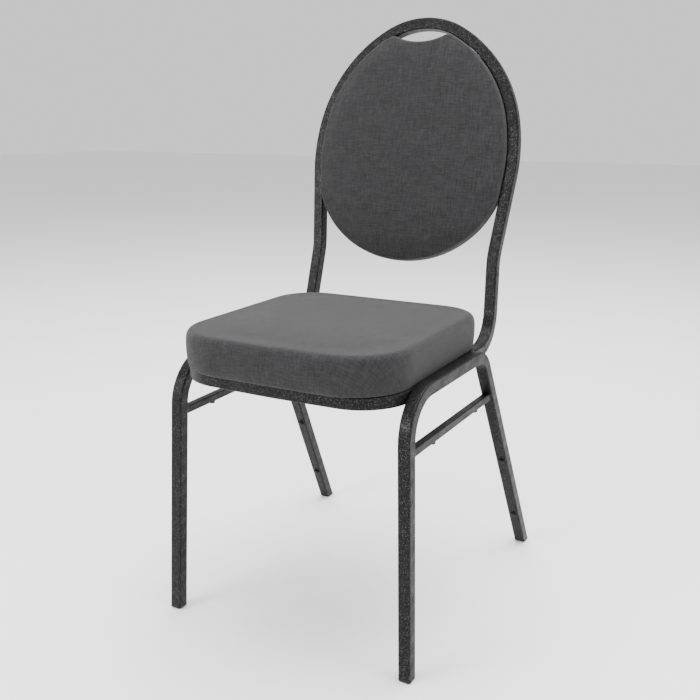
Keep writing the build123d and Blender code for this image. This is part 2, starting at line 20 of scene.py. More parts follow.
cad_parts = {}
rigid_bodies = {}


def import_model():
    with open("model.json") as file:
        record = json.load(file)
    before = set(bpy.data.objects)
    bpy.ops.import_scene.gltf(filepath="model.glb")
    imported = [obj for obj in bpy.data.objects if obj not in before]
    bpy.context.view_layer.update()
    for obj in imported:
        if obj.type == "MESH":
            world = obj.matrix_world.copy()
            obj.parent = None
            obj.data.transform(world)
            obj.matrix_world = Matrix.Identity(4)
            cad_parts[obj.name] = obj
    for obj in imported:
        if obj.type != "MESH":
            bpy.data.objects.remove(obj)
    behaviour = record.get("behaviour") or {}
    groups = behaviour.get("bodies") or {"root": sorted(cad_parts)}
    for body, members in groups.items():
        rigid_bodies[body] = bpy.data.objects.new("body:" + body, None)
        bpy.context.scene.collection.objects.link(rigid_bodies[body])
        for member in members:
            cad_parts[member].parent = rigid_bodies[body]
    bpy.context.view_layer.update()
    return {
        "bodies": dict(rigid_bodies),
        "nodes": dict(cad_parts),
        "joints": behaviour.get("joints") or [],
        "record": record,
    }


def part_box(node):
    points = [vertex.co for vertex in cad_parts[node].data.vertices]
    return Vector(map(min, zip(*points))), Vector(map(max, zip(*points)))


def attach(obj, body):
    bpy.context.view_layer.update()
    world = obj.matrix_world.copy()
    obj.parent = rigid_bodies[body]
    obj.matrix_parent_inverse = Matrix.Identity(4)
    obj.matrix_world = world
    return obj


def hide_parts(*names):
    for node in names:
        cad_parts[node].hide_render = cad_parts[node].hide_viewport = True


LOG = logging.getLogger("stacking_chair")
MM = 0.001
BODY = "root"
OUTLINE_STEPS = 720
LEVEL_ROOM = 0.05 * MM
IDENTITY = np.eye(4)


class Slot(Enum):
    """Material slots of the record, by the finish they name."""

    PAINT = "frame_paint"
    CLOTH = "upholstery"
    PLYWOOD = "plywood"
    DUST = "dust_cloth"
    PLASTIC = "black_plastic"
    ZINC = "zinc_steel"


# ------------------------------------------------------------------ node helpers
class Graph:
    """Adds and links the nodes of one shader or geometry tree."""

    def __init__(self, tree: bpy.types.NodeTree) -> None:
        """Wrap a node tree.

        Args:
            tree: The tree that the nodes are added to.
        """
        self.tree = tree

    def add(self, kind: str, inputs: dict | None = None, **settings: object) -> bpy.types.Node:
        """Add a node, set its properties and fill or link its inputs.

        Args:
            kind: Blender's type name of the node.
            inputs: Values or sockets by input name or index.
            **settings: Properties of the node itself.

        Returns:
            The new node.
        """
        node = self.tree.nodes.new(kind)
        for key, value in settings.items():
            setattr(node, key, value)
        for key, value in (inputs or {}).items():
            if isinstance(value, bpy.types.NodeSocket):
                self.tree.links.new(value, node.inputs[key])
            else:
                node.inputs[key].default_value = value
        return node

    def math(self, operation: str, *values: object) -> bpy.types.NodeSocket:
        """Add a Math node and return its output."""
        node = self.add("ShaderNodeMath", dict(enumerate(values)), operation=operation)
        return node.outputs[0]

    def vector(self, operation: str, *values: object) -> bpy.types.NodeSocket:
        """Add a Vector Math node and return its vector output."""
        node = self.add("ShaderNodeVectorMath", dict(enumerate(values)), operation=operation)
        return node.outputs[0]

    def scaled(self, vector: object, scale: object) -> bpy.types.NodeSocket:
        """Multiply a vector by one number."""
        inputs = {"Vector": vector, "Scale": scale}
        return self.add("ShaderNodeVectorMath", inputs, operation="SCALE").outputs[0]

    def remap(self, value: object, low: float, high: float, to_low: float = 0.0,
              to_high: float = 1.0) -> bpy.types.NodeSocket:
        """Map a value from one range to another, clamped at both ends."""
        inputs = {"Value": value, "From Min": low, "From Max": high,
                  "To Min": to_low, "To Max": to_high}
        return self.add("ShaderNodeMapRange", inputs, interpolation_type="SMOOTHSTEP").outputs[0]

    def blend(self, factor: object, first: object, second: object) -> bpy.types.NodeSocket:
        """Mix two colours by a factor."""
        inputs = {0: factor, 6: first, 7: second}
        return self.add("ShaderNodeMix", inputs, data_type="RGBA").outputs[2]

    def noise(self, vector: object, scale: float, detail: float = 2.0,
              roughness: float = 0.5) -> bpy.types.NodeSocket:
        """Add a noise texture and return its value."""
        inputs = {"Vector": vector, "Scale": scale, "Detail": detail, "Roughness": roughness}
        return self.add("ShaderNodeTexNoise", inputs).outputs["Fac"]


class ShaderGroup:
    """A shader node group with named inputs and outputs, built once and reused."""

    name = "group"
    inputs: dict[str, tuple[str, object]] = {}
    outputs: dict[str, str] = {}

    @classmethod
    def tree(cls) -> bpy.types.NodeTree:
        """Return the group's tree, which is built at the first call.

        Returns:
            The tree.
        """
        found = bpy.data.node_groups.get(cls.name)
        if found:
            return found
        tree = bpy.data.node_groups.new(cls.name, "ShaderNodeTree")
        for name, (kind, default) in cls.inputs.items():
            socket = tree.interface.new_socket(name, in_out="INPUT", socket_type=kind)
            if default is not None:
                socket.default_value = default
        for name, kind in cls.outputs.items():
            tree.interface.new_socket(name, in_out="OUTPUT", socket_type=kind)
        graph = Graph(tree)
        source = graph.add("NodeGroupInput").outputs
        graph.add("NodeGroupOutput", cls.wire(graph, source))
        return tree

    @classmethod
    def wire(cls, graph: Graph, source: bpy.types.bpy_prop_collection) -> dict:
        """Build the nodes between the group's inputs and outputs.

        Args:
            graph: Helper on the group's tree.
            source: The group input node's sockets.

        Returns:
            One socket for each named output.
        """
        raise NotImplementedError

    @classmethod
    def place(cls, graph: Graph, **values: object) -> bpy.types.bpy_prop_collection:
        """Put the group into a material.

        Args:
            graph: Helper on the material's tree.
            **values: Input values or sockets, with underscores for spaces.

        Returns:
            The group node's outputs.
        """
        node = graph.add("ShaderNodeGroup", node_tree=cls.tree())
        for key, value in values.items():
            socket = node.inputs[key.replace("_", " ")]
            if isinstance(value, bpy.types.NodeSocket):
                graph.tree.links.new(value, socket)
            else:
                socket.default_value = value
        return node.outputs


class HammerGroup(ShaderGroup):
    """Hammertone paint: shallow dimples between raised veins, with fine metal flecks."""

    name = "hammer_pattern"
    inputs = {
        "Vector": ("NodeSocketVector", None),
        "Dimple Size": ("NodeSocketFloat", 0.0024),
        "Fleck Size": ("NodeSocketFloat", 0.0009),
        "Fleck Amount": ("NodeSocketFloat", 0.2),
    }
    outputs = {"Height": "NodeSocketFloat", "Fleck": "NodeSocketFloat",
               "Mottle": "NodeSocketFloat"}

    @classmethod
    def wire(cls, graph: Graph, source: bpy.types.bpy_prop_collection) -> dict:
        """Build dimples from warped cells and flecks from a finer set of cells.

        Args:
            graph: Helper on the group's tree.
            source: The group input node's sockets.

        Returns:
            One socket for each named output.
        """
        inverse = graph.math("DIVIDE", 1.0, source["Dimple Size"])
        fine = graph.math("DIVIDE", 1.0, source["Fleck Size"])
        cells = graph.scaled(source["Vector"], inverse)
        warp = graph.add("ShaderNodeTexNoise", {"Vector": cells, "Scale": 0.9, "Detail": 2.0})
        wobble = graph.scaled(graph.vector("SUBTRACT", warp.outputs["Color"], (0.5,) * 3), 1.1)
        warped = graph.vector("ADD", cells, wobble)
        dimple = graph.add("ShaderNodeTexVoronoi", {"Vector": warped, "Scale": 1.0,
                                                    "Smoothness": 0.55}, feature="SMOOTH_F1")
        height = graph.remap(dimple.outputs["Distance"], 0.12, 0.75)
        flakes = graph.add("ShaderNodeTexVoronoi", {
            "Vector": graph.scaled(source["Vector"], fine), "Scale": 1.0}, feature="F1")
        chance = graph.add("ShaderNodeSeparateColor", {"Color": flakes.outputs["Color"]})
        threshold = graph.math("SUBTRACT", 1.0, source["Fleck Amount"])
        picked = graph.math("GREATER_THAN", chance.outputs[0], threshold)
        round_flake = graph.remap(flakes.outputs["Distance"], 0.55, 0.15)
        fleck = graph.math("MULTIPLY", picked, round_flake)
        mottle = graph.noise(source["Vector"], 55.0, 3.0, 0.6)
        return {"Height": height, "Fleck": fleck, "Mottle": mottle}


class WeaveGroup(ShaderGroup):
    """Plain weave of melange yarns on a flat cloth map in metres."""

    name = "melange_weave"
    inputs = {
        "Vector": ("NodeSocketVector", None),
        "Pitch": ("NodeSocketFloat", 0.0009),
        "Streak Length": ("NodeSocketFloat", 18.0),
    }
    outputs = {"Height": "NodeSocketFloat", "Shade": "NodeSocketFloat",
               "Cloud": "NodeSocketFloat"}

    @classmethod
    def wire(cls, graph: Graph, source: bpy.types.bpy_prop_collection) -> dict:
        """Cross two sets of round yarns, each with its own light and dark stretches.

        Args:
            graph: Helper on the group's tree.
            source: The group input node's sockets.

        Returns:
            One socket for each named output.
        """
        scale = graph.math("DIVIDE", 1.0, source["Pitch"])
        parts = graph.add("ShaderNodeSeparateXYZ", {
            "Vector": graph.scaled(source["Vector"], scale)}).outputs
        across, along = parts["X"], parts["Y"]
        stretch = graph.math("DIVIDE", 1.0, source["Streak Length"])

        def yarn(position: object, run: object, sign: float, seed: float) -> tuple:
            """Height and shade of one set of yarns.

            Args:
                position: Place across the yarns, in yarns.
                run: Place along the yarns, in yarns.
                sign: Which of the two sets passes over first.
                seed: Offset of this set's light and dark stretches.

            Returns:
                The height and the shade.
            """
            index = graph.math("FLOOR", position)
            fraction = graph.math("FRACT", position)
            bulge = graph.math("SINE", graph.math("MULTIPLY", fraction, math.pi))
            phase = graph.math("MULTIPLY", graph.math("ADD", run, index), math.pi)
            lift = graph.math("MULTIPLY_ADD", graph.math("SINE", phase), 0.34 * sign, 0.66)
            spot = graph.add("ShaderNodeCombineXYZ", {
                "X": graph.math("MULTIPLY_ADD", index, 7.31, seed),
                "Y": graph.math("MULTIPLY", run, stretch), "Z": seed}).outputs[0]
            shade = graph.noise(spot, 1.0, 3.0, 0.65)
            return graph.math("MULTIPLY", bulge, lift), shade

        warp_height, warp_shade = yarn(across, along, 1.0, 3.7)
        weft_height, weft_shade = yarn(along, across, -1.0, 51.3)
        top = graph.math("GREATER_THAN", warp_height, weft_height)
        height = graph.math("MAXIMUM", warp_height, weft_height)
        mixed = graph.add("ShaderNodeMix", {0: top, 2: weft_shade, 3: warp_shade},
                          data_type="FLOAT").outputs[0]
        shade = graph.remap(mixed, 0.33, 0.68)
        cloud = graph.noise(source["Vector"], 26.0, 4.0, 0.6)
        return {"Height": height, "Shade": shade, "Cloud": cloud}


class GrainGroup(ShaderGroup):
    """Fine random grain with larger, fainter unevenness."""

    name = "fine_grain"
    inputs = {"Vector": ("NodeSocketVector", None), "Grain Size": ("NodeSocketFloat", 0.0004)}
    outputs = {"Height": "NodeSocketFloat", "Patch": "NodeSocketFloat"}

    @classmethod
    def wire(cls, graph: Graph, source: bpy.types.bpy_prop_collection) -> dict:
        """Mix two scales of noise.

        Args:
            graph: Helper on the group's tree.
            source: The group input node's sockets.

        Returns:
            One socket for each named output.
        """
        inverse = graph.math("DIVIDE", 1.0, source["Grain Size"])
        cells = graph.scaled(source["Vector"], inverse)
        return {"Height": graph.noise(cells, 1.0, 3.0, 0.6),
                "Patch": graph.noise(source["Vector"], 90.0, 3.0, 0.55)}


class ScuffGroup(ShaderGroup):
    """Scuffs and chips that gather within a band above the floor."""

    name = "floor_scuffs"
    inputs = {"Vector": ("NodeSocketVector", None), "Reach": ("NodeSocketFloat", 0.09)}
    outputs = {"Mask": "NodeSocketFloat"}

    @classmethod
    def wire(cls, graph: Graph, source: bpy.types.bpy_prop_collection) -> dict:
        """Fade streaky noise out with height.

        Args:
            graph: Helper on the group's tree.
            source: The group input node's sockets.

        Returns:
            One socket for each named output.
        """
        height = graph.add("ShaderNodeSeparateXYZ", {"Vector": source["Vector"]}).outputs["Z"]
        near = graph.math("SUBTRACT", 1.0, graph.math("DIVIDE", height, source["Reach"]))
        band = graph.math("MAXIMUM", near, 0.0)
        streaks = graph.noise(graph.vector("MULTIPLY", source["Vector"], (900, 900, 160)), 1.0, 4.0)
        chips = graph.remap(streaks, 0.60, 0.68)
        return {"Mask": graph.math("MULTIPLY", chips, band)}


# ------------------------------------------------------------------ finishes
@dataclass(frozen=True)
class Finish:
    """A surface finish that makes its own material."""

    name: str
    slot: Slot

    def material(self) -> bpy.types.Material:
        """Return the finish's material, which is built at the first call.

        Returns:
            The material.
        """
        found = bpy.data.materials.get(self.name)
        if found:
            return found
        made = bpy.data.materials.new(self.name)
        made.use_nodes = True
        made.node_tree.nodes.clear()
        graph = Graph(made.node_tree)
        shader = graph.add("ShaderNodeBsdfPrincipled")
        graph.add("ShaderNodeOutputMaterial", {"Surface": shader.outputs[0]})
        self.wire(graph, shader)
        return made

    def wire(self, graph: Graph, shader: bpy.types.Node) -> None:
        """Build the nodes that feed the shader.

        Args:
            graph: Helper on the material's tree.
            shader: The material's Principled BSDF.
        """
        raise NotImplementedError

    @staticmethod
    def feed(graph: Graph, shader: bpy.types.Node, **sockets: object) -> None:
        """Set or link shader inputs, named with underscores for spaces.

        Args:
            graph: Helper on the material's tree.
            shader: The shader.
            **sockets: Values or sockets by input name.
        """
        for key, value in sockets.items():
            target = shader.inputs[key.replace("_", " ")]
            if isinstance(value, bpy.types.NodeSocket):
                graph.tree.links.new(value, target)
            else:
                target.default_value = value

    @staticmethod
    def bump(graph: Graph, height: object, distance: float, strength: float,
             below: object | None = None) -> bpy.types.NodeSocket:
        """Turn a height into a normal, on top of another bump if one is given.

        Args:
            graph: Helper on the material's tree.
            height: Height, from 0 to 1.
            distance: Size of a full height, in metres.
            strength: Share of the bump that shows.
            below: Normal of the bump that this one lies on.

        Returns:
            The normal.
        """
        inputs = {"Height": height, "Distance": distance, "Strength": strength}
        if below is not None:
            inputs["Normal"] = below
        return graph.add("ShaderNodeBump", inputs).outputs[0]


def object_place(graph: Graph) -> bpy.types.NodeSocket:
    """Object coordinates, in metres."""
    return graph.add("ShaderNodeTexCoord").outputs["Object"]


@dataclass(frozen=True)
class HammertonePaint(Finish):
    """Black hammertone coat with silver flecks and scuffed feet."""

    base: tuple = (0.0018, 0.0018, 0.0019, 1.0)
    vein: tuple = (0.0055, 0.0055, 0.0058, 1.0)
    fleck: tuple = (0.14, 0.14, 0.14, 1.0)
    dimple_depth: float = 0.00022
    roughness: tuple[float, float] = (0.36, 0.50)

    def wire(self, graph: Graph, shader: bpy.types.Node) -> None:
        """Lay flecks in the dimples and bare metal in the scuffs.

        Args:
            graph: Helper on the material's tree.
            shader: The material's Principled BSDF.
        """
        place = object_place(graph)
        hammer = HammerGroup.place(graph, Vector=place)
        scuffs = ScuffGroup.place(graph, Vector=place)
        coat = graph.blend(hammer["Height"], self.base, self.vein)
        flecked = graph.blend(hammer["Fleck"], coat, self.fleck)
        worn = graph.blend(scuffs["Mask"], flecked, (0.10, 0.098, 0.095, 1.0))
        rough = graph.remap(hammer["Mottle"], 0.3, 0.7, *self.roughness)
        metal = graph.math("MULTIPLY", hammer["Fleck"], 0.9)
        normal = self.bump(graph, hammer["Height"], self.dimple_depth, 0.45)
        self.feed(graph, shader, Base_Color=worn, Roughness=rough, Metallic=metal,
                  Normal=normal, Specular_IOR_Level=0.11)


@dataclass(frozen=True)
class MelangeCloth(Finish):
    """Charcoal melange upholstery cloth, mapped in metres by the piece's own map."""

    dark: tuple = (0.0150, 0.0146, 0.0156, 1.0)
    light: tuple = (0.0372, 0.0362, 0.0380, 1.0)
    pitch: float = 0.0010
    uv_map: str = "cloth"

    def wire(self, graph: Graph, shader: bpy.types.Node) -> None:
        """Colour the yarns, paint shade into the gaps between them, and raise them.

        Args:
            graph: Helper on the material's tree.
            shader: The material's Principled BSDF.
        """
        flat = graph.add("ShaderNodeUVMap", uv_map=self.uv_map).outputs[0]
        weave = WeaveGroup.place(graph, Vector=flat, Pitch=self.pitch)
        yarn = graph.blend(weave["Shade"], self.dark, self.light)
        # Painted shade: the colour falls to 55 % where the yarns dip into the gaps between them, standing
        # in for shade there.
        gap_painted_shade = graph.remap(weave["Height"], 0.15, 0.75, 0.55, 1.0)
        cloud = graph.remap(weave["Cloud"], 0.3, 0.7, 0.94, 1.05)
        # depth is the painted gap shade times the cloud's random tone; it scales the yarn colour.
        depth = graph.math("MULTIPLY", gap_painted_shade, cloud)
        colour = graph.scaled(yarn, depth)
        grain = GrainGroup.place(graph, Vector=flat, Grain_Size=0.0025)
        soft = self.bump(graph, grain["Height"], 0.0004, 0.35)
        normal = self.bump(graph, weave["Height"], 0.0004, 0.55, soft)
        self.feed(graph, shader, Base_Color=colour, Roughness=0.92, Normal=normal,
                  Sheen_Weight=0.11, Sheen_Roughness=0.4, Specular_IOR_Level=0.15)


@dataclass(frozen=True)
class DustCloth(Finish):
    """Thin black non-woven cloth with pressed-in fibres."""

    def wire(self, graph: Graph, shader: bpy.types.Node) -> None:
        """Cross two directions of stretched fibres.

        Args:
            graph: Helper on the material's tree.
            shader: The material's Principled BSDF.
        """
        place = object_place(graph)
        long_way = graph.noise(graph.vector("MULTIPLY", place, (260, 1900, 900)), 1.0, 3.0)
        short_way = graph.noise(graph.vector("MULTIPLY", place, (1900, 260, 900)), 1.0, 3.0)
        fibre = graph.math("MAXIMUM", long_way, short_way)
        mask = graph.remap(fibre, 0.45, 0.75)
        colour = graph.blend(mask, (0.010, 0.010, 0.010, 1), (0.040, 0.040, 0.041, 1))
        normal = self.bump(graph, fibre, 0.0003, 0.5)
        self.feed(graph, shader, Base_Color=colour, Roughness=0.95, Normal=normal,
                  Specular_IOR_Level=0.2)


@dataclass(frozen=True)
class MouldedPlastic(Finish):
    """Black moulded plastic with a fine spark-eroded grain."""

    def wire(self, graph: Graph, shader: bpy.types.Node) -> None:
        """Vary the gloss, and grey the plastic where it rubs on the floor.

        Args:
            graph: Helper on the material's tree.
            shader: The material's Principled BSDF.
        """
        place = object_place(graph)
        grain = GrainGroup.place(graph, Vector=place, Grain_Size=0.00035)
        scuffs = ScuffGroup.place(graph, Vector=place, Reach=0.012)
        tint = graph.blend(grain["Patch"], (0.002, 0.002, 0.002, 1), (0.006, 0.006, 0.0063, 1))
        colour = graph.blend(scuffs["Mask"], tint, (0.10, 0.10, 0.10, 1))
        rough = graph.remap(grain["Patch"], 0.3, 0.7, 0.42, 0.6)
        normal = self.bump(graph, grain["Height"], 0.0001, 0.5)
        self.feed(graph, shader, Base_Color=colour, Roughness=rough, Normal=normal,
                  Specular_IOR_Level=0.25)


@dataclass(frozen=True)
class ZincSteel(Finish):
    """Bright zinc plate with a faint crystalline unevenness."""

    def wire(self, graph: Graph, shader: bpy.types.Node) -> None:
        """Vary the tint and the gloss of the plate.

        Args:
            graph: Helper on the material's tree.
            shader: The material's Principled BSDF.
        """
        place = object_place(graph)
        grain = GrainGroup.place(graph, Vector=place, Grain_Size=0.0003)
        colour = graph.blend(grain["Patch"], (0.42, 0.42, 0.44, 1), (0.62, 0.61, 0.58, 1))
        rough = graph.remap(grain["Height"], 0.3, 0.7, 0.25, 0.42)
        normal = self.bump(graph, grain["Height"], 0.00005, 0.4)
        self.feed(graph, shader, Base_Color=colour, Roughness=rough, Metallic=1.0, Normal=normal)


@dataclass(frozen=True)
class Plywood(Finish):
    """Raw birch plywood: stacked plies at the edge and long grain on the face."""

    ply: float = 0.0015

    def wire(self, graph: Graph, shader: bpy.types.Node) -> None:
        """Stripe the height into plies and stretch noise along X for the grain.

        Args:
            graph: Helper on the material's tree.
            shader: The material's Principled BSDF.
        """
        place = object_place(graph)
        height = graph.add("ShaderNodeSeparateXYZ", {"Vector": place}).outputs["Z"]
        layer = graph.math("FRACT", graph.math("DIVIDE", height, 2 * self.ply))
        odd = graph.math("GREATER_THAN", layer, 0.5)
        grain = graph.noise(graph.vector("MULTIPLY", place, (18, 420, 420)), 1.0, 5.0, 0.6)
        face = graph.blend(grain, (0.36, 0.23, 0.12, 1), (0.62, 0.45, 0.27, 1))
        colour = graph.blend(graph.math("MULTIPLY", odd, 0.35), face, (0.28, 0.17, 0.09, 1))
        normal = self.bump(graph, grain, 0.0002, 0.4)
        self.feed(graph, shader, Base_Color=colour, Roughness=0.75, Normal=normal)


class Finishes:
    """The finishes of the chair."""

    PAINT = HammertonePaint("black_hammertone_paint", Slot.PAINT)
    CLOTH = MelangeCloth("charcoal_melange_cloth", Slot.CLOTH)
    DUST = DustCloth("black_dust_cloth", Slot.DUST)
    PLASTIC = MouldedPlastic("black_moulded_plastic", Slot.PLASTIC)
    ZINC = ZincSteel("zinc_plate", Slot.ZINC)
    PLYWOOD = Plywood("birch_plywood", Slot.PLYWOOD)
    BY_SLOT = {f.slot.value: f for f in (PAINT, CLOTH, DUST, PLASTIC, ZINC, PLYWOOD)}


# ------------------------------------------------------------------ mesh helpers
def add_object(name: str, mesh: bpy.types.Mesh) -> bpy.types.Object:
    """Link a mesh to the scene as a new object at the origin.

    Args:
        name: Name of the object.
        mesh: Its mesh.

    Returns:
        The object.
    """
    made = bpy.data.objects.new(name, mesh)
    bpy.context.scene.collection.objects.link(made)
    return made


def build_mesh(name: str, points: Iterable, faces: Iterable, edges: Iterable = ()) -> bpy.types.Mesh:
    """Make a smooth-shaded mesh whose faces point outwards.

    Args:
        name: Name of the mesh.
        points: Vertex positions.
        faces: Vertex indices of each face.
        edges: Vertex indices of loose edges.

    Returns:
        The mesh.
    """
    mesh = bpy.data.meshes.new(name)
    mesh.from_pydata([tuple(p) for p in points], list(edges), [tuple(f) for f in faces])
    shape = bmesh.new()
    shape.from_mesh(mesh)
    bmesh.ops.recalc_face_normals(shape, faces=shape.faces)
    shape.to_mesh(mesh)
    shape.free()
    mesh.polygons.foreach_set("use_smooth", [True] * len(mesh.polygons))
    return mesh


def frozen_mesh(obj: bpy.types.Object) -> bpy.types.Mesh:
    """Plain mesh of an object with its modifiers applied."""
    graph = bpy.context.evaluated_depsgraph_get()
    return bpy.data.meshes.new_from_object(obj.evaluated_get(graph), depsgraph=graph)


def node_points(node: str) -> np.ndarray:
    """Vertex positions of a CAD node, in metres.

    Args:
        node: Name of the node.

    Returns:
        An array with a row for each vertex.
    """
    mesh = bpy.data.objects[node].data
    flat = np.zeros(len(mesh.vertices) * 3)
    mesh.vertices.foreach_get("co", flat)
    return flat.reshape(-1, 3)


def node_islands(node: str) -> list[np.ndarray]:
    """Vertex positions of each separate solid of a CAD node.

    Args:
        node: Name of the node.

    Returns:
        One array for each solid, in the order of their middles.
    """
    shape = bmesh.new()
    shape.from_mesh(bpy.data.objects[node].data)
    bmesh.ops.remove_doubles(shape, verts=shape.verts, dist=1e-5)
    shape.verts.ensure_lookup_table()
    unseen, islands = set(shape.verts), []
    while unseen:
        stack = [min(unseen, key=lambda v: v.index)]
        unseen.discard(stack[0])
        found = []
        while stack:
            vertex = stack.pop()
            found.append(tuple(vertex.co))
            for edge in vertex.link_edges:
                other = edge.other_vert(vertex)
                if other in unseen:
                    unseen.discard(other)
                    stack.append(other)
        islands.append(np.array(found))
    shape.free()
    return sorted(islands, key=lambda p: tuple(np.round(p.mean(0), 4)))


@dataclass
class Outline:
    """Closed star-shaped outline in a plane, read by angle about its centre."""

    points: np.ndarray
    centre: np.ndarray

    def __post_init__(self) -> None:
        """Resample the outline at even angles and find its outward normals."""
        self.angles = np.linspace(-math.pi, math.pi, OUTLINE_STEPS + 1)
        rel = self.points - self.centre
        angle = np.arctan2(rel[:, 1], rel[:, 0])
        order = np.argsort(angle)
        radius = np.hypot(rel[:, 0], rel[:, 1])[order]
        angle = angle[order]
        wrapped = np.concatenate([angle - 2 * math.pi, angle, angle + 2 * math.pi])
        self.radii = np.interp(self.angles, wrapped, np.tile(radius, 3))
        ring = self._ring(self.radii)
        tangent = np.roll(ring[:-1], -2, 0) - np.roll(ring[:-1], 2, 0)
        normal = np.stack([tangent[:, 1], -tangent[:, 0]], 1)
        normal /= np.linalg.norm(normal, axis=1)[:, None]
        self.normals = np.vstack([normal, normal[:1]])

    def _ring(self, radii: np.ndarray) -> np.ndarray:
        """Positions at the even angles for these radii."""
        unit = np.stack([np.cos(self.angles), np.sin(self.angles)], 1)
        return self.centre + unit * radii[:, None]

    def at(self, angles: np.ndarray, inset: float = 0.0) -> np.ndarray:
        """Points of the outline at these angles, moved inwards along its normal.

        Args:
            angles: Angles about the centre, in radians.
            inset: Distance inwards.

        Returns:
            An array of points.
        """
        radius = np.interp(angles, self.angles, self.radii)
        unit = np.stack([np.cos(angles), np.sin(angles)], -1)
        normal = self.normal_at(angles)
        return self.centre + unit * radius[..., None] - normal * inset

    def reach(self, point: Sequence[float]) -> float:
        """How far out a point lies, from 0 at the centre to 1 on the outline.

        Args:
            point: A point whose first two coordinates lie in the plane.

        Returns:
            The share of the way out.
        """
        across, along = point[0] - self.centre[0], point[1] - self.centre[1]
        radius = float(np.interp(math.atan2(along, across), self.angles, self.radii))
        return math.hypot(across, along) / radius

    def normal_at(self, angles: np.ndarray) -> np.ndarray:
        """Outward normals at these angles.

        Args:
            angles: Angles about the centre, in radians.

        Returns:
            An array of unit vectors.
        """
        axes = [np.interp(angles, self.angles, self.normals[:, k]) for k in (0, 1)]
        normal = np.stack(axes, -1)
        return normal / np.linalg.norm(normal, axis=-1)[..., None]

    @classmethod
    def from_section(cls, points: np.ndarray, edges: np.ndarray) -> "Outline":
        """Outermost outline of a flat set of edges.

        Args:
            points: Positions in the plane.
            edges: Pairs of indices into the points.

        Returns:
            The outline.
        """
        centre = (points.min(0) + points.max(0)) / 2
        start, end = points[edges[:, 0]] - centre, points[edges[:, 1]] - centre
        run = end - start
        found = []
        for angle in np.linspace(-math.pi, math.pi, OUTLINE_STEPS, endpoint=False):
            ray = np.array([math.cos(angle), math.sin(angle)])
            cross = ray[0] * run[:, 1] - ray[1] * run[:, 0]
            safe = np.where(np.abs(cross) < 1e-12, 1.0, cross)
            along = (start[:, 0] * run[:, 1] - start[:, 1] * run[:, 0]) / safe
            share = (start[:, 0] * ray[1] - start[:, 1] * ray[0]) / safe
            hit = (np.abs(cross) > 1e-12) & (along > 0) & (share >= -1e-6) & (share <= 1 + 1e-6)
            if hit.any():
                found.append(centre + ray * along[hit].max())
        return cls(np.array(found), centre)


@dataclass
class Pillow:
    """Closed quad mesh of a stuffed shape: a crowned face, a rounded wall and a back.

    Attributes:
        outline: Plan of the shape.
        profile: Pairs of inset and height from the face's rim down to the back's rim.
        cells: Quads along each side of the face's grid.
        face_crown: Height of the face's dome above its rim.
        back_crown: Depth of the back's dome below its rim.
    """

    outline: Outline
    profile: Sequence[tuple[float, float]]
    cells: int = 56
    face_crown: float = 0.0
    back_crown: float = 0.0

    def mesh(self, name: str, place: Matrix, uv_map: str) -> bpy.types.Mesh:
        """Build the mesh and its cloth map.

        Args:
            name: Name of the mesh.
            place: Matrix from the outline's plane to the chair.
            uv_map: Name of the map, in metres along the cloth.

        Returns:
            The mesh.
        """
        n = self.cells
        u, v = np.meshgrid(np.linspace(-1, 1, n + 1), np.linspace(-1, 1, n + 1), indexing="ij")
        reach = np.maximum(np.abs(u), np.abs(v))
        angle = np.arctan2(v, u)
        rim = self._rim(n)
        rim_angle = angle[rim[:, 0], rim[:, 1]]
        points, maps = [], []
        centre = self.outline.centre

        def sheet(inset: float, height: float, crown: float) -> None:
            """Add the grid of the face or of the back.

            Args:
                inset: Inset of the sheet's rim.
                height: Height of the rim.
                crown: Rise of the middle over the rim.
            """
            edge = self.outline.at(angle, inset)
            flat = centre + (edge - centre) * reach[..., None]
            rise = height + crown * (1 - reach**2)
            points.append(np.concatenate([flat, rise[..., None]], -1).reshape(-1, 3))
            maps.append(flat.reshape(-1, 2))

        (top_inset, top_height), (end_inset, end_height) = self.profile[0], self.profile[-1]
        sheet(top_inset, top_height, self.face_crown)
        outward = self.outline.normal_at(rim_angle)
        travelled, last = 0.0, self.profile[0]
        for inset, height in self.profile[1:-1]:
            travelled += math.hypot(inset - last[0], height - last[1])
            last = (inset, height)
            flat = self.outline.at(rim_angle, inset)
            points.append(np.concatenate([flat, np.full((len(flat), 1), height)], 1))
            maps.append(self.outline.at(rim_angle, top_inset) + outward * travelled)
        sheet(end_inset, end_height, -self.back_crown)
        every = np.vstack(points)
        world = [place @ Vector(p) for p in every]
        faces = self._faces(n, rim)
        mesh = build_mesh(name, world, faces)
        flat_map = np.vstack(maps)
        layer = mesh.uv_layers.new(name=uv_map)
        corner = np.zeros(len(mesh.loops), dtype=int)
        mesh.loops.foreach_get("vertex_index", corner)
        layer.data.foreach_set("uv", flat_map[corner].ravel())
        return mesh

    @staticmethod
    def _rim(n: int) -> np.ndarray:
        """Grid indices around the edge of a sheet, in order.

        Args:
            n: Quads along each side of the grid.

        Returns:
            Pairs of grid indices.
        """
        side = np.arange(n)
        return np.vstack([
            np.stack([side, np.zeros(n, int)], 1),
            np.stack([np.full(n, n), side], 1),
            np.stack([n - side, np.full(n, n)], 1),
            np.stack([np.zeros(n, int), n - side], 1),
        ])

    def _faces(self, n: int, rim: np.ndarray) -> list[tuple]:
        """Quads of the face, the wall and the back.

        Args:
            n: Quads along each side of the grid.
            rim: Grid indices around the edge of a sheet.

        Returns:
            Vertex indices of each quad.
        """
        per_sheet = (n + 1) ** 2
        rows = len(self.profile) - 2
        first = [int(i * (n + 1) + j) for i, j in rim]
        rings = [first]
        for k in range(rows):
            rings.append([per_sheet + k * 4 * n + m for m in range(4 * n)])
        back = per_sheet + rows * 4 * n
        rings.append([back + index for index in first])
        faces = []
        for start in (0, back):
            for i in range(n):
                for j in range(n):
                    a = start + i * (n + 1) + j
                    faces.append((a, a + 1, a + n + 2, a + n + 1))
        for upper, lower in zip(rings, rings[1:]):
            for m in range(4 * n):
                k = (m + 1) % (4 * n)
                faces.append((upper[m], upper[k], lower[k], lower[m]))
        return faces


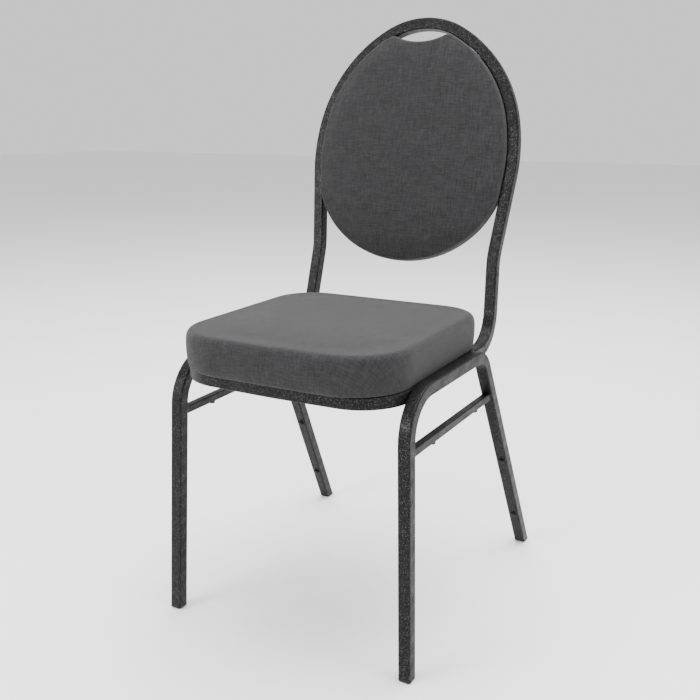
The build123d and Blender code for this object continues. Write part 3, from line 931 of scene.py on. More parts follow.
@dataclass(frozen=True)
class Inflation:
    """Cloth simulation that puffs a cover up over its foam.

    Attributes:
        pressure: Pressure inside the cover.
        frames: Length of the simulation.
        cap: Farthest that a point may move, in metres.
        stiffness: Tension stiffness of the cover.
        bending: Bending stiffness of the cover.
        mass: Mass of each point.
        quality: Steps of the solver in a frame.
    """

    pressure: float = 4.0
    frames: int = 20
    cap: float = 0.008
    stiffness: float = 15.0
    bending: float = 0.5
    mass: float = 0.3
    quality: int = 6

    def apply(self, obj: bpy.types.Object, held: Callable[[Vector], float]) -> None:
        """Run the simulation on an object and keep its result.

        Args:
            obj: The object, whose mesh is changed.
            held: Weight from 0, free, to 1, fixed, at a point of the start shape.
        """
        mesh = obj.data
        start = np.array([v.co for v in mesh.vertices])
        group = obj.vertex_groups.new(name="held")
        for vertex in mesh.vertices:
            group.add([vertex.index], held(vertex.co), "REPLACE")
        modifier = obj.modifiers.new("cover", "CLOTH")
        cloth = modifier.settings
        cloth.quality = self.quality
        cloth.mass = self.mass
        cloth.tension_stiffness = cloth.compression_stiffness = self.stiffness
        cloth.bending_stiffness = self.bending
        cloth.use_pressure = True
        cloth.uniform_pressure_force = self.pressure
        cloth.vertex_group_mass = "held"
        cloth.effector_weights.gravity = 0.0
        modifier.collision_settings.use_collision = False
        scene = bpy.context.scene
        modifier.point_cache.frame_start, modifier.point_cache.frame_end = 1, self.frames
        for frame in range(1, self.frames + 1):
            scene.frame_set(frame)
        puffed = frozen_mesh(obj)
        moved = np.array([v.co for v in puffed.vertices]) - start
        length = np.linalg.norm(moved, axis=1)
        share = np.where(length > 0, self.cap * np.tanh(length / self.cap) / np.maximum(length, 1e-9), 0)
        mesh.vertices.foreach_set("co", (start + moved * share[:, None]).ravel())
        mesh.update()
        obj.modifiers.remove(modifier)
        obj.vertex_groups.remove(group)
        bpy.data.meshes.remove(puffed)
        scene.frame_set(1)


def subdivide(obj: bpy.types.Object, levels: int = 1) -> None:
    """Replace an object's mesh with a smoothly subdivided one.

    Args:
        obj: The object.
        levels: How often each quad is split.
    """
    modifier = obj.modifiers.new("smooth", "SUBSURF")
    modifier.levels = modifier.render_levels = levels
    modifier.uv_smooth = "PRESERVE_BOUNDARIES"
    fine = frozen_mesh(obj)
    obj.modifiers.remove(modifier)
    old, obj.data = obj.data, fine
    bpy.data.meshes.remove(old)
    fine.polygons.foreach_set("use_smooth", [True] * len(fine.polygons))


def dress(obj: bpy.types.Object, finish: Finish, *nodes: str) -> bpy.types.Object:
    """Give a finished piece its material, its body and the nodes it replaces.

    Args:
        obj: The piece.
        finish: Its finish.
        *nodes: CAD nodes that the piece stands for.

    Returns:
        The piece.
    """
    obj.data.materials.clear()
    obj.data.materials.append(finish.material())
    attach(obj, BODY)
    if nodes:
        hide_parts(*nodes)
    LOG.info("%s: %d faces", obj.name, len(obj.data.polygons))
    return obj


# ------------------------------------------------------------------ geometry nodes
class GeometryTree(Graph):
    """A Geometry Nodes tree with named inputs, run once and turned into a plain mesh."""

    def __init__(self, name: str, inputs: dict[str, tuple[str, object]]) -> None:
        """Start a tree.

        Args:
            name: Name of the tree.
            inputs: Socket type and default value by input name.
        """
        super().__init__(bpy.data.node_groups.new(name, "GeometryNodeTree"))
        face = self.tree.interface
        face.new_socket("Geometry", in_out="INPUT", socket_type="NodeSocketGeometry")
        face.new_socket("Geometry", in_out="OUTPUT", socket_type="NodeSocketGeometry")
        for key, (kind, default) in inputs.items():
            socket = face.new_socket(key, in_out="INPUT", socket_type=kind)
            if default is not None:
                socket.default_value = default
        self.source = self.add("NodeGroupInput").outputs

    def close(self, geometry: bpy.types.NodeSocket) -> "GeometryTree":
        """End the tree in Realize Instances and Set Material.

        Args:
            geometry: The tree's last geometry.

        Returns:
            The tree itself.
        """
        solid = self.add("GeometryNodeRealizeInstances", {"Geometry": geometry}).outputs[0]
        dressed = self.add("GeometryNodeSetMaterial", {
            "Geometry": solid, "Material": self.source["Material"]}).outputs[0]
        self.add("NodeGroupOutput", {"Geometry": dressed})
        return self

    def run(self, name: str, carrier: bpy.types.Mesh, **values: object) -> bpy.types.Object:
        """Evaluate the tree on a carrier mesh.

        Args:
            name: Name of the new object.
            carrier: Points or edges that the tree starts from.
            **values: Input values, with underscores for spaces.

        Returns:
            A new object with the result as its mesh.
        """
        holder = add_object(name + "_carrier", carrier)
        modifier = holder.modifiers.new("tree", "NODES")
        modifier.node_group = self.tree
        idents = {i.name: i.identifier for i in self.tree.interface.items_tree
                  if i.in_out == "INPUT"}
        for key, value in values.items():
            modifier[idents[key.replace("_", " ")]] = value
        mesh = frozen_mesh(holder)
        mesh.name = name
        holder.modifiers.remove(modifier)
        bpy.data.objects.remove(holder)
        bpy.data.meshes.remove(carrier)
        return add_object(name, mesh)


def scatter_tree() -> GeometryTree:
    """Tree that stands a template on each point, by the point's axis and along vectors.

    Returns:
        The tree.
    """
    tree = GeometryTree("template_on_points", {
        "Template": ("NodeSocketObject", None),
        "Turn": ("NodeSocketFloat", 0.0),
        "Seed": ("NodeSocketInt", 7),
        "Material": ("NodeSocketMaterial", None),
    })

    def direction(name: str) -> bpy.types.NodeSocket:
        """Read a vector attribute of the points."""
        node = tree.add("GeometryNodeInputNamedAttribute", {"Name": name},
                        data_type="FLOAT_VECTOR")
        return node.outputs["Attribute"]

    upright = tree.add("FunctionNodeAlignRotationToVector", {"Vector": direction("axis")},
                       axis="Z").outputs[0]
    facing = tree.add("FunctionNodeAlignRotationToVector", {
        "Rotation": upright, "Vector": direction("along")}, axis="X", pivot_axis="Z").outputs[0]
    swing = tree.add("FunctionNodeRandomValue", {
        "Min": (0, 0, -1), "Max": (0, 0, 1), "Seed": tree.source["Seed"]},
        data_type="FLOAT_VECTOR").outputs[0]
    spin = tree.scaled(swing, tree.source["Turn"])
    rotation = tree.add("FunctionNodeRotateRotation", {
        "Rotation": facing, "Rotate By": spin}, rotation_space="LOCAL").outputs[0]
    info = tree.add("GeometryNodeObjectInfo", {"Object": tree.source["Template"]})
    placed = tree.add("GeometryNodeInstanceOnPoints", {
        "Points": tree.source["Geometry"], "Instance": info.outputs["Geometry"],
        "Rotation": rotation}).outputs[0]
    return tree.close(placed)


def bead_tree() -> GeometryTree:
    """Tree that lays a rippled weld bead along loose edges.

    Returns:
        The tree.
    """
    tree = GeometryTree("rippled_bead", {
        "Radius": ("NodeSocketFloat", 0.0016),
        "Ripple": ("NodeSocketFloat", 0.0022),
        "Seed": ("NodeSocketInt", 3),
        "Material": ("NodeSocketMaterial", None),
    })
    curve = tree.add("GeometryNodeMeshToCurve", {"Mesh": tree.source["Geometry"]}).outputs[0]
    step = tree.math("MULTIPLY", tree.source["Ripple"], 0.25)
    even = tree.add("GeometryNodeResampleCurve", {"Curve": curve, "Length": step}, mode="LENGTH")
    along = tree.add("GeometryNodeSplineParameter").outputs["Length"]
    phase = tree.math("DIVIDE", along, tree.source["Ripple"])
    wave = tree.math("SINE", tree.math("MULTIPLY", phase, 2 * math.pi))
    rough = tree.add("FunctionNodeRandomValue", {2: 0.9, 3: 1.1, "Seed": tree.source["Seed"]},
                     data_type="FLOAT").outputs[1]
    girth = tree.math("MULTIPLY", tree.math("MULTIPLY_ADD", wave, 0.12, 0.9), rough)
    sized = tree.add("GeometryNodeSetCurveRadius", {
        "Curve": even.outputs[0],
        "Radius": tree.math("MULTIPLY", girth, tree.source["Radius"])}).outputs[0]
    ring = tree.add("GeometryNodeCurvePrimitiveCircle", {"Resolution": 10, "Radius": 1.0})
    radius = tree.add("GeometryNodeInputRadius").outputs[0]
    sweep = tree.add("GeometryNodeCurveToMesh", {
        "Curve": sized, "Profile Curve": ring.outputs[0], "Scale": radius, "Fill Caps": True})
    return tree.close(sweep.outputs[0])


def points_mesh(name: str, places: Sequence, axes: Sequence, alongs: Sequence) -> bpy.types.Mesh:
    """Loose points with the axis and along vectors that the scatter tree reads.

    Args:
        name: Name of the mesh.
        places: Position of each point.
        axes: The way that the template's Z looks.
        alongs: The way that the template's X looks.

    Returns:
        The mesh.
    """
    mesh = bpy.data.meshes.new(name)
    mesh.from_pydata([tuple(p) for p in places], [], [])
    for key, rows in (("axis", axes), ("along", alongs)):
        layer = mesh.attributes.new(key, "FLOAT_VECTOR", "POINT")
        layer.data.foreach_set("vector", np.array([tuple(r) for r in rows], float).ravel())
    return mesh


def lathe(name: str, profile: Sequence[tuple[float, float]], sides: int = 24) -> bpy.types.Mesh:
    """Turn a profile of radius and height about Z; it starts and ends on the axis.

    Args:
        name: Name of the mesh.
        profile: Pairs of radius and height.
        sides: Faces around the axis.

    Returns:
        The mesh.
    """
    points, faces = [(0, 0, profile[0][1])], []
    for radius, height in profile[1:-1]:
        for k in range(sides):
            a = 2 * math.pi * k / sides
            points.append((radius * math.cos(a), radius * math.sin(a), height))
    points.append((0, 0, profile[-1][1]))
    rings = len(profile) - 2
    for k in range(sides):
        j = (k + 1) % sides
        faces.append((0, 1 + j, 1 + k))
        for ring in range(rings - 1):
            a = 1 + ring * sides
            faces.append((a + k, a + j, a + sides + j, a + sides + k))
        last = 1 + (rings - 1) * sides
        faces.append((last + k, last + j, len(points) - 1))
    return build_mesh(name, points, faces)


# ------------------------------------------------------------------ sub-assemblies
class BackFrame:
    """Frame of the reclined back: X across, Y up the back, Z forwards from its board."""

    def __init__(self) -> None:
        """Find the board's middle plane from its flat faces."""
        points = node_points("back_board")
        centre = points.mean(0)
        _, _, axes = np.linalg.svd(points - centre, full_matrices=False)
        normal = Vector(axes[2])
        normal.x = 0.0
        normal.normalize()
        if normal.y > 0:
            normal.negate()
        across = Vector((1, 0, 0))
        self.matrix = Matrix((across, normal.cross(across), normal)).transposed().to_4x4()
        self.matrix.translation = Vector((0, *centre[1:]))
        self.inverse = np.array(self.matrix.inverted())

    def local(self, points: np.ndarray) -> np.ndarray:
        """Points of the chair in the back's own frame."""
        return points @ self.inverse[:3, :3].T + self.inverse[:3, 3]

    def depth(self, node: str) -> tuple[float, float]:
        """Rearmost and frontmost place of a CAD node across the back's plane."""
        heights = self.local(node_points(node))[:, 2]
        return float(heights.min()), float(heights.max())


def outline_at(node: str, height: float, inverse: np.ndarray = IDENTITY) -> Outline:
    """Outline of a CAD node where its mesh has an edge loop at this height.

    Args:
        node: Name of the node.
        height: Height of the loop along the frame's Z.
        inverse: Matrix from the chair to the frame that the outline is flat in.

    Returns:
        The outline.
    """
    mesh = bpy.data.objects[node].data
    points = node_points(node) @ inverse[:3, :3].T + inverse[:3, 3]
    pairs = np.array([tuple(e.vertices) for e in mesh.edges])
    level = np.abs(points[:, 2] - height) < LEVEL_ROOM
    kept = pairs[level[pairs].all(axis=1)]
    return Outline.from_section(points[:, :2], kept)


@dataclass
class SteelFrame:
    """Weld beads that join the painted steelwork: the tubes, tabs and cross bar."""

    end_bead: float = 1.5 * MM
    butt_bead: float = 0.9 * MM
    rail_bead: float = 2.4 * MM
    stitch: float = 26 * MM
    stitch_places: tuple[float, ...] = (0.12, 0.42, 0.74)
    end_depth: float = 0.6 * MM
    slant_depth: float = 8 * MM
    sectors: int = 28
    corner_share: float = 0.8
    stitch_points: int = 8
    stitch_out: float = 1.5 * MM
    stitch_down: float = 0.3 * MM

    def build(self) -> list[bpy.types.Object]:
        """Lay every weld bead.

        Returns:
            The beads, as three objects by size.
        """
        tree = bead_tree()
        ends = [self.end_loop(f"{side}_brace", end) for side in ("left", "right")
                for end in ("front", "rear")]
        ends += [self.end_loop("seat_rear_rail", end) for end in ("left", "right")]
        butts = [self.end_loop("seat_front_rail", end, low) for end, low in
                 (("rear", "left"), ("rear", "right"))]
        pieces = []
        for name, loops, radius in (("end_weld_beads", ends, self.end_bead),
                                    ("butt_weld_beads", butts, self.butt_bead),
                                    ("rail_weld_beads", self.rail_stitches(), self.rail_bead)):
            carrier = self.path_mesh(name, loops)
            made = tree.run(name, carrier, Radius=radius, Material=Finishes.PAINT.material())
            pieces.append(dress(made, Finishes.PAINT))
        return pieces

    @staticmethod
    def path_mesh(name: str, paths: list[tuple[np.ndarray, bool]]) -> bpy.types.Mesh:
        """Loose edges along each path; a closed one returns to its start.

        Args:
            name: Name of the mesh.
            paths: Points of each path, and whether it is closed.

        Returns:
            The mesh.
        """
        points, edges = [], []
        for path, closed in paths:
            first = len(points)
            points += [tuple(p) for p in path]
            edges += [(first + k, first + k + 1) for k in range(len(path) - 1)]
            if closed:
                edges.append((first + len(path) - 1, first))
        mesh = bpy.data.meshes.new(name)
        mesh.from_pydata(points, edges, [])
        return mesh

    def end_loop(self, node: str, end: str, half: str | None = None) -> tuple[np.ndarray, bool]:
        """Outline of a tube's cut end, as a closed loop.

        Args:
            node: The tube's node.
            end: Which end: front, rear, left or right.
            half: Which side's end, where the tube turns back on itself.

        Returns:
            The loop's points, and that it is closed.
        """
        points = node_points(node)
        if half:
            points = points[points[:, 0] * (1 if half == "right" else -1) > 0]
        axis, sign = {"front": (1, -1), "rear": (1, 1), "left": (0, -1), "right": (0, 1)}[end]
        other = [k for k in range(3) if k != axis]
        reach = points[:, axis] * sign
        depth = self.slant_depth if node.endswith("brace") else self.end_depth
        near = points[reach > reach.max() - depth]
        flat = near[:, other] - (near[:, other].min(0) + near[:, other].max(0)) / 2
        angle = np.arctan2(flat[:, 1], flat[:, 0])
        radius = np.hypot(flat[:, 0], flat[:, 1])
        rows = []
        for low in np.linspace(-math.pi, math.pi, self.sectors, endpoint=False):
            inside = np.flatnonzero((angle >= low) & (angle < low + 2 * math.pi / self.sectors))
            if len(inside) and radius[inside].max() > self.corner_share * np.abs(flat).max():
                rows.append(near[inside[np.argmax(radius[inside])]])
        return np.array(rows), True

    def rail_stitches(self) -> list[tuple[np.ndarray, bool]]:
        """Short runs under the seat where the leg loops lie against the side rails.

        Returns:
            The runs' points, none of them closed.
        """
        runs = []
        for side, sign in (("left", -1), ("right", 1)):
            loop = node_points(f"{side}_leg_loop")
            top = loop[:, 2].max()
            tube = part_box("seat_rear_rail")[1].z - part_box("seat_rear_rail")[0].z
            rail = loop[loop[:, 2] > top - tube * 1.01]
            low_edge = rail[np.abs(rail[:, 2] - (top - tube)) < 0.3 * MM]
            front, rear = low_edge[:, 1].min(), low_edge[:, 1].max()
            inner = np.array([np.abs(low_edge[low_edge[:, 1] < (front + rear) / 2][:, 0]).min(),
                              np.abs(low_edge[low_edge[:, 1] > (front + rear) / 2][:, 0]).min()])
            for place in self.stitch_places:
                start = front + (rear - front) * place
                y = np.linspace(start, start + self.stitch, self.stitch_points)
                share = (y - front) / (rear - front)
                x = (inner[0] + (inner[1] - inner[0]) * share - self.stitch_out) * sign
                z = np.full(self.stitch_points, top - tube - self.stitch_down)
                runs.append((np.stack([x, y, z], 1), False))
        return runs


@dataclass
class SeatUpholstery:
    """Boxed seat cushion over its board, and the dust cover stapled below."""

    rim_drop: float = 2.4 * MM
    crown: float = 1.6 * MM
    puff: Inflation = field(default_factory=lambda: Inflation(cap=0.0035))
    free_reach: tuple[float, float] = (0.72, 0.95)
    wall: tuple[tuple[float, float], ...] = (
        (0.0140, 0.0), (0.0108, -0.0003), (0.0080, -0.0011), (0.0056, -0.0025),
        (0.0038, -0.0044), (0.0025, -0.0066), (0.0015, -0.0094), (0.0009, -0.0128),
        (0.0006, -0.0180), (0.0005, -0.0260), (0.0007, -0.0340), (0.0012, -0.0420),
        (0.0019, -0.0480), (0.0029, -0.0530),
    )
    turn_under: tuple[tuple[float, float], ...] = (
        (-2.6, 1.1), (-1.9, 0.4), (-1.2, 0.06), (-0.4, 0.0), (1.5, 0.0),
    )
    hem: float = 16 * MM
    cloth: float = 0.1 * MM
    board_gap: float = 0.25 * MM
    under_gap: float = 0.12 * MM
    nut_room: float = 3.0 * MM
    fillet_search: tuple[float, float] = (10 * MM, 30 * MM)
    staple_pitch: float = 34 * MM
    staple_inset: float = 6 * MM
    staple_turn: float = 0.16

    def build(self) -> list[bpy.types.Object]:
        """Make the cushion and the dust cover.

        Returns:
            The cushion, the cover and its staples.
        """
        return [self.cushion(), *self.dust_cover()]

    def cushion(self) -> bpy.types.Object:
        """Puff the cushion up over the board that it hides.

        Returns:
            The cover.
        """
        low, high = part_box("seat_cushion")
        board_low, board_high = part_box("seat_board")
        rim = high.z - self.rim_drop
        outline = outline_at("seat_cushion", self.fillet_foot(high.z))
        inset = board_low.x - low.x
        recess_top = board_high.z + self.nut_room
        steps = [(i, rim + z) for i, z in self.wall]
        under = board_low.z - self.under_gap
        edge, end = inset - self.board_gap, inset + self.hem
        steps += [(inset + i * MM, under + z * MM) for i, z in self.turn_under]
        steps += [(end - 1.0 * MM, under), (end, under + self.cloth / 2),
                  (end - 1.0 * MM, under + self.cloth), (inset + 1.5 * MM, under + self.cloth),
                  (edge + 0.1 * MM, under + 1.1 * self.cloth),
                  (edge, under + 0.5 * MM), (edge, recess_top - 0.6 * MM),
                  (edge + 0.2 * MM, recess_top - 0.1 * MM), (inset + 1.0 * MM, recess_top)]
        form = Pillow(outline, steps, cells=58, face_crown=self.crown)
        made = add_object("seat_cushion_cover",
                          form.mesh("seat_cushion_cover", Matrix(), Finishes.CLOTH.uv_map))
        free, fixed = self.free_reach

        def held(point: Vector) -> float:
            """Hold the walls and the rim, and let go over a band inside it."""
            if point.z < rim - 0.3 * MM:
                return 1.0
            return min(1.0, max(0.0, (outline.reach(point) - free) / (fixed - free)))

        self.puff.apply(made, held)
        subdivide(made)
        dress(made, Finishes.CLOTH, "seat_cushion")
        return made

    def fillet_foot(self, top: float) -> float:
        """Height of the loop where the CAD cushion's rounded edge meets its wall.

        Args:
            top: Height of the cushion's top.

        Returns:
            The height.
        """
        heights = node_points("seat_cushion")[:, 2]
        near, far = self.fillet_search
        low = heights[(heights < top - near) & (heights > top - far)]
        return float(low.max())

    def dust_cover(self) -> list[bpy.types.Object]:
        """Thin cloth under the board, with a staple every few centimetres.

        Returns:
            The cloth and its staples.
        """
        low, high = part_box("seat_dust_cover")
        outline = outline_at("seat_dust_cover", high.z)
        steps = [(0.3 * MM, high.z), (0.0, high.z - 0.05 * MM), (0.0, low.z + 0.05 * MM),
                 (0.3 * MM, low.z)]
        form = Pillow(outline, steps, cells=48)
        cover = add_object("seat_dust_cloth", form.mesh("seat_dust_cloth", Matrix(), "cloth"))
        dress(cover, Finishes.DUST, "seat_dust_cover")
        ring = outline.at(outline.angles[:-1])
        return [cover, self.staples(outline, low.z)]

    def staples(self, outline: Outline, height: float) -> bpy.types.Object:
        """Staples along the edge of the dust cover.

        Args:
            outline: Outline of the cover.
            height: Height of its lower face.

        Returns:
            The staples, as one object.
        """
        template = add_object("staple_template", self.staple_mesh())
        around = 2 * math.pi * float(np.mean(outline.radii))
        count = int(around / self.staple_pitch)
        angles = np.linspace(-math.pi, math.pi, count, endpoint=False)
        places = outline.at(angles, self.staple_inset)
        outward = outline.normal_at(angles)
        along = np.stack([-outward[:, 1], outward[:, 0], np.zeros(count)], 1)
        spots = np.concatenate([places, np.full((count, 1), height)], 1)
        carrier = points_mesh("staples", spots, [(0, 0, -1)] * count, along)
        made = scatter_tree().run("dust_cloth_staples", carrier, Template=template, Turn=self.staple_turn,
                                  Material=Finishes.ZINC.material())
        bpy.data.objects.remove(template)
        return dress(made, Finishes.ZINC)

    @staticmethod
    def staple_mesh() -> bpy.types.Mesh:
        """Crown of a wire staple with its two legs turned into the cloth.

        Returns:
            The mesh.
        """
        half, wire, rise = 5.0 * MM, 0.5 * MM, 0.35 * MM
        path = [(-half, -1.2 * MM), (-half, rise - wire), (-half + wire, rise),
                (half - wire, rise), (half, rise - wire), (half, -1.2 * MM)]
        points, faces = [], []
        for x, z in path:
            for k in range(8):
                a = 2 * math.pi * k / 8
                tilt = 0.0 if abs(x) < half else wire
                points.append((x + tilt * 0.6 * math.cos(a), wire * math.sin(a),
                               z + (0.0 if tilt else wire * 0.6 * math.cos(a))))
        for row in range(len(path) - 1):
            for k in range(8):
                j = (k + 1) % 8
                a, b = row * 8, (row + 1) * 8
                faces.append((a + k, a + j, b + j, b + k))
        faces += [tuple(range(8)), tuple(range(len(points) - 8, len(points)))]
        return build_mesh("staple", points, faces)


@dataclass
class BackUpholstery:
    """Oval back pad inside the hoop, and the covered panel that closes its rear."""

    frame: BackFrame
    puff: Inflation = field(default_factory=lambda: Inflation(cap=0.005))
    crown: float = 2.0 * MM
    rim_drop: float = 3.0 * MM
    edge: tuple[tuple[float, float], ...] = (
        (0.0092, 0.0), (0.0059, -0.0001), (0.0047, 0.0001), (0.0039, 0.0003),
        (0.0031, -0.0002), (0.0024, -0.0011), (0.0013, -0.0026), (0.0002, -0.0050),
        (-0.0006, -0.0085), (-0.0010, -0.0130), (-0.0010, -0.0190),
    )
    panel_edge: tuple[tuple[float, float], ...] = (
        (0.0042, 0.0), (0.0024, -0.0002), (0.0011, -0.0009), (0.0003, -0.0021),
        (0.0, -0.0038),
    )
    panel_crown: float = 0.6 * MM
    panel_wall: float = 5.5 * MM
    panel_floor: float = 3.7 * MM
    board_inset: float = 5.7 * MM
    nut_room: float = 2.6 * MM
    held_band: tuple[float, float] = (0.6 * MM, 3.0 * MM)
    notch_half: float = 46 * MM
    notch_drop: float = 1.4 * MM

    def build(self) -> list[bpy.types.Object]:
        """Make the pad and the rear panel."""
        return [self.pad(), self.rear_panel()]

    def pad(self) -> bpy.types.Object:
        """Puff the pad's front face; its wall stays clear of the hoop.

        Returns:
            The cover.
        """
        rear, front = self.frame.depth("back_pad")
        board_front = self.frame.depth("back_board")[1]
        outline = self.notched(outline_at("back_pad", rear, self.frame.inverse))
        rim = front - self.rim_drop
        wall, recess = self.board_inset, board_front + self.nut_room
        steps = [(i, rim + z) for i, z in self.edge]
        steps += [(-0.8 * MM, rear + 0.3 * MM), (-0.4 * MM, rear), (wall - 0.3 * MM, rear),
                  (wall, rear + 0.3 * MM), (wall, recess), (wall + 1.0 * MM, recess + 0.3 * MM)]
        form = Pillow(outline, steps, cells=54, face_crown=self.crown)
        made = add_object("back_pad_cover",
                          form.mesh("back_pad_cover", self.frame.matrix, Finishes.CLOTH.uv_map))
        inverse = self.frame.matrix.inverted()
        start, band = self.held_band

        def held(point: Vector) -> float:
            """Hold everything behind the front face's rim."""
            return min(1.0, max(0.0, (rim - start - (inverse @ point).z) / band))

        self.puff.apply(made, held)
        subdivide(made)
        dress(made, Finishes.CLOTH, "back_pad")
        return made

    def notched(self, outline: Outline) -> Outline:
        """Lower the middle of an outline's top, where the hand grip is.

        Args:
            outline: Outline of the pad.

        Returns:
            The lowered outline.
        """
        points = outline.at(outline.angles[:-1]).copy()
        near = np.clip(1 - (points[:, 0] / self.notch_half) ** 4, 0, 1)
        points[:, 1] -= self.notch_drop * near * (points[:, 1] > outline.centre[1])
        return Outline(points, outline.centre)

    def rear_panel(self) -> bpy.types.Object:
        """Cloth-covered tray behind the board, with its edges pulled round.

        Returns:
            The panel.
        """
        rear, front = self.frame.depth("back_rear_panel")
        outline = outline_at("back_rear_panel", front, self.frame.inverse)
        flip = self.frame.matrix @ Matrix.Scale(-1, 4, (0, 0, 1))
        top, rim = -rear - self.panel_crown, -front
        floor, wall = rim + self.panel_floor, self.panel_wall
        steps = [(i, top + z) for i, z in self.panel_edge]
        steps += [(0.0, rim + 0.3 * MM), (0.4 * MM, rim), (wall - 0.3 * MM, rim),
                  (wall, rim + 0.3 * MM), (wall, floor - 0.2 * MM), (wall + 1.0 * MM, floor)]
        form = Pillow(outline, steps, cells=44, face_crown=self.panel_crown)
        made = add_object("back_panel_cover",
                          form.mesh("back_panel_cover", flip, Finishes.CLOTH.uv_map))
        subdivide(made)
        return dress(made, Finishes.CLOTH, "back_rear_panel")


@dataclass
class Fasteners:
    """Pan-head screws with a cross recess, under the seat."""

    head_radius: float = 6.0 * MM
    head_height: float = 3.4 * MM
    shank_radius: float = 2.6 * MM
    recess_width: float = 1.3 * MM
    recess_length: float = 6.4 * MM
    recess_depth: float = 2.0 * MM
    thread_pitch: float = 0.8 * MM
    sides: int = 32

    def build(self) -> list[bpy.types.Object]:
        """Stand a screw at each of the CAD seat screws."""
        return [self.row("seat_pan_screws", "seat_screws", (0, 0, -1))]

    def row(self, name: str, node: str, axis: tuple[float, float, float]) -> bpy.types.Object:
        """Replace one group of CAD screws.

        Args:
            name: Name of the new piece.
            node: The CAD screws.
            axis: The way that the heads look.

        Returns:
            The screws, as one object.
        """
        islands = node_islands(node)
        heads, lengths = [], []
        for points in islands:
            heads.append((points[:, 0].mean(), points[:, 1].mean(),
                          points[:, 2].min() + self.head_height))
            lengths.append(points[:, 2].max() - points[:, 2].min() - self.head_height)
        template = add_object("screw_template", self.screw_mesh(min(lengths)))
        carrier = points_mesh(name, heads, [axis] * len(heads), [(1, 0, 0)] * len(heads))
        made = scatter_tree().run(name, carrier, Template=template, Turn=math.pi, Seed=11,
                                  Material=Finishes.ZINC.material())
        bpy.data.objects.remove(template)
        return dress(made, Finishes.ZINC, node)

    def screw_mesh(self, length: float) -> bpy.types.Mesh:
        """Turned screw with its head upwards and a cross cut into the head.

        Args:
            length: Length of the shank.

        Returns:
            The mesh.
        """
        r, h, s = self.head_radius, self.head_height, self.shank_radius
        profile = [(0, h), (r * 0.45, h), (r * 0.72, h * 0.93), (r * 0.90, h * 0.75),
                   (r * 0.98, h * 0.45), (r, h * 0.12), (r * 0.98, 0), (s * 1.05, 0)]
        threads = int(length / self.thread_pitch)
        for k in range(threads):
            z = -length * (k + 0.5) / threads
            profile += [(s * 0.9, z + 0.2 * MM), (s, z - 0.1 * MM)]
        profile += [(s * 0.7, -length), (0, -length)]
        body = add_object("screw_body", lathe("screw_body", profile, self.sides))
        cutter = add_object("screw_cutter", self.cross_mesh())
        cut = body.modifiers.new("recess", "BOOLEAN")
        cut.operation, cut.object, cut.solver = "DIFFERENCE", cutter, "EXACT"
        mesh = frozen_mesh(body)
        for obj in (body, cutter):
            bpy.data.objects.remove(obj)
        return mesh

    def cross_mesh(self) -> bpy.types.Mesh:
        """Tapered cross that cuts the recess.

        Returns:
            The mesh.
        """
        top, bottom = self.head_height + 1 * MM, self.head_height - self.recess_depth
        w, reach = self.recess_width / 2, self.recess_length / 2
        ring = []
        for k in range(4):
            turn = Matrix.Rotation(math.pi / 2 * k, 2)
            ring += [turn @ Vector(p) for p in ((w, -w), (reach, -w), (reach, w))]
        points = [(p.x, p.y, top) for p in ring]
        points += [(p.x * 0.45, p.y * 0.75, bottom) if abs(p.x) > abs(p.y)
                   else (p.x * 0.75, p.y * 0.45, bottom) for p in ring]
        count = len(ring)
        faces = [tuple(range(count)), tuple(range(count, 2 * count))]
        faces += [(k, (k + 1) % count, count + (k + 1) % count, count + k) for k in range(count)]
        return build_mesh("screw_cross", points, faces)


@dataclass(frozen=True)
class SoftBox:
    """Rectangular soft light: its place, its size in metres and its power in watts."""

    name: str
    place: tuple[float, float, float]
    size: tuple[float, float]
    power: float

    def build(self, aim: Vector) -> None:
        """Add the light, looking at a point.

        Args:
            aim: The point.
        """
        lamp = bpy.data.lights.new(self.name, "AREA")
        lamp.shape = "RECTANGLE"
        lamp.size, lamp.size_y = self.size
        lamp.energy = self.power
        made = bpy.data.objects.new(self.name, lamp)
        made.location = self.place
        made.rotation_euler = (aim - Vector(self.place)).to_track_quat("-Z", "Y").to_euler()
        bpy.context.scene.collection.objects.link(made)


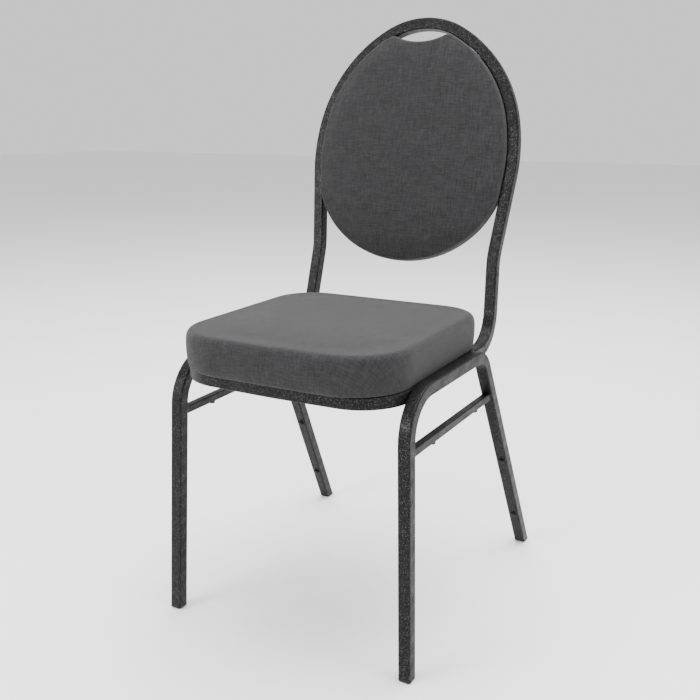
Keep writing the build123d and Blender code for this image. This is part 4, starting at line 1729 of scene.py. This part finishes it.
@dataclass
class Studio:
    """Pale floor, soft lights and the camera."""

    eye: tuple[float, float, float] = (0.65945, -1.23820, 0.77732)
    pitch: float = 14.818
    turn: float = 28.733
    lens: float = 45.63
    shift: tuple[float, float] = (0.0042, -0.0008)
    floor_half: float = 14.0
    sky: float = 1.0
    aim: tuple[float, float, float] = (0, 0, 0.45)
    boxes: tuple[SoftBox, ...] = (
        SoftBox("key_light", (-1.6, -2.8, 1.7), (1.6, 0.9), 105),
        SoftBox("side_light", (2.6, -0.2, 1.1), (1.4, 1.4), 45),
        SoftBox("top_light", (0.0, 0.4, 3.4), (3.6, 3.6), 300),
    )

    def build(self) -> None:
        """Make the floor, the lights and the camera."""
        half = self.floor_half
        corners = [(-half, -half, 0), (half, -half, 0), (half, half, 0), (-half, half, 0)]
        floor = add_object("studio_floor", build_mesh("studio_floor", corners, [(0, 1, 2, 3)]))
        floor.data.materials.append(self.floor_material())
        self.world()
        for box in self.boxes:
            box.build(Vector(self.aim))
        camera = bpy.data.objects.new("camera", bpy.data.cameras.new("camera"))
        camera.data.lens = self.lens
        camera.data.sensor_width = 36
        camera.data.shift_x, camera.data.shift_y = self.shift
        camera.location = self.eye
        camera.rotation_euler = (math.radians(90 - self.pitch), 0, math.radians(self.turn))
        bpy.context.scene.collection.objects.link(camera)
        bpy.context.scene.camera = camera

    @staticmethod
    def floor_material() -> bpy.types.Material:
        """Matt white floor with the faintest unevenness.

        Returns:
            The material.
        """
        made = bpy.data.materials.new("studio_floor")
        made.use_nodes = True
        graph = Graph(made.node_tree)
        shader = made.node_tree.nodes["Principled BSDF"]
        cloud = graph.noise(object_place(graph), 3.0, 3.0)
        Finish.feed(graph, shader, Roughness=0.7, Specular_IOR_Level=0.2,
                    Base_Color=graph.blend(cloud, (0.89, 0.89, 0.89, 1), (0.92, 0.92, 0.92, 1)))
        return made

    def world(self) -> None:
        """Even white surroundings."""
        world = bpy.data.worlds.new("studio_world")
        bpy.context.scene.world = world
        world.use_nodes = True
        ground = world.node_tree.nodes["Background"]
        ground.inputs["Color"].default_value = (1, 1, 1, 1)
        ground.inputs["Strength"].default_value = self.sky


def paint_nodes(frame: dict) -> None:
    """Give every CAD node the finish of its material slot.

    Args:
        frame: The loaded frame.
    """
    slots = {part["node"]: part["material_slot"] for part in frame["record"]["subparts"]}
    for name, node in frame["nodes"].items():
        finish = Finishes.BY_SLOT[slots[name]]
        node.data.materials.clear()
        node.data.materials.append(finish.material())
        LOG.info("%s: %s", name, finish.name)


def main() -> None:
    """Load the frame, dress it and build every piece around it."""
    logging.basicConfig(level=logging.INFO, format="%(name)s %(message)s")
    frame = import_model()
    paint_nodes(frame)
    Studio().build()
    back = BackFrame()
    for assembly in (SteelFrame(), SeatUpholstery(), BackUpholstery(back), Fasteners()):
        assembly.build()


if __name__ == "__main__":
    main()
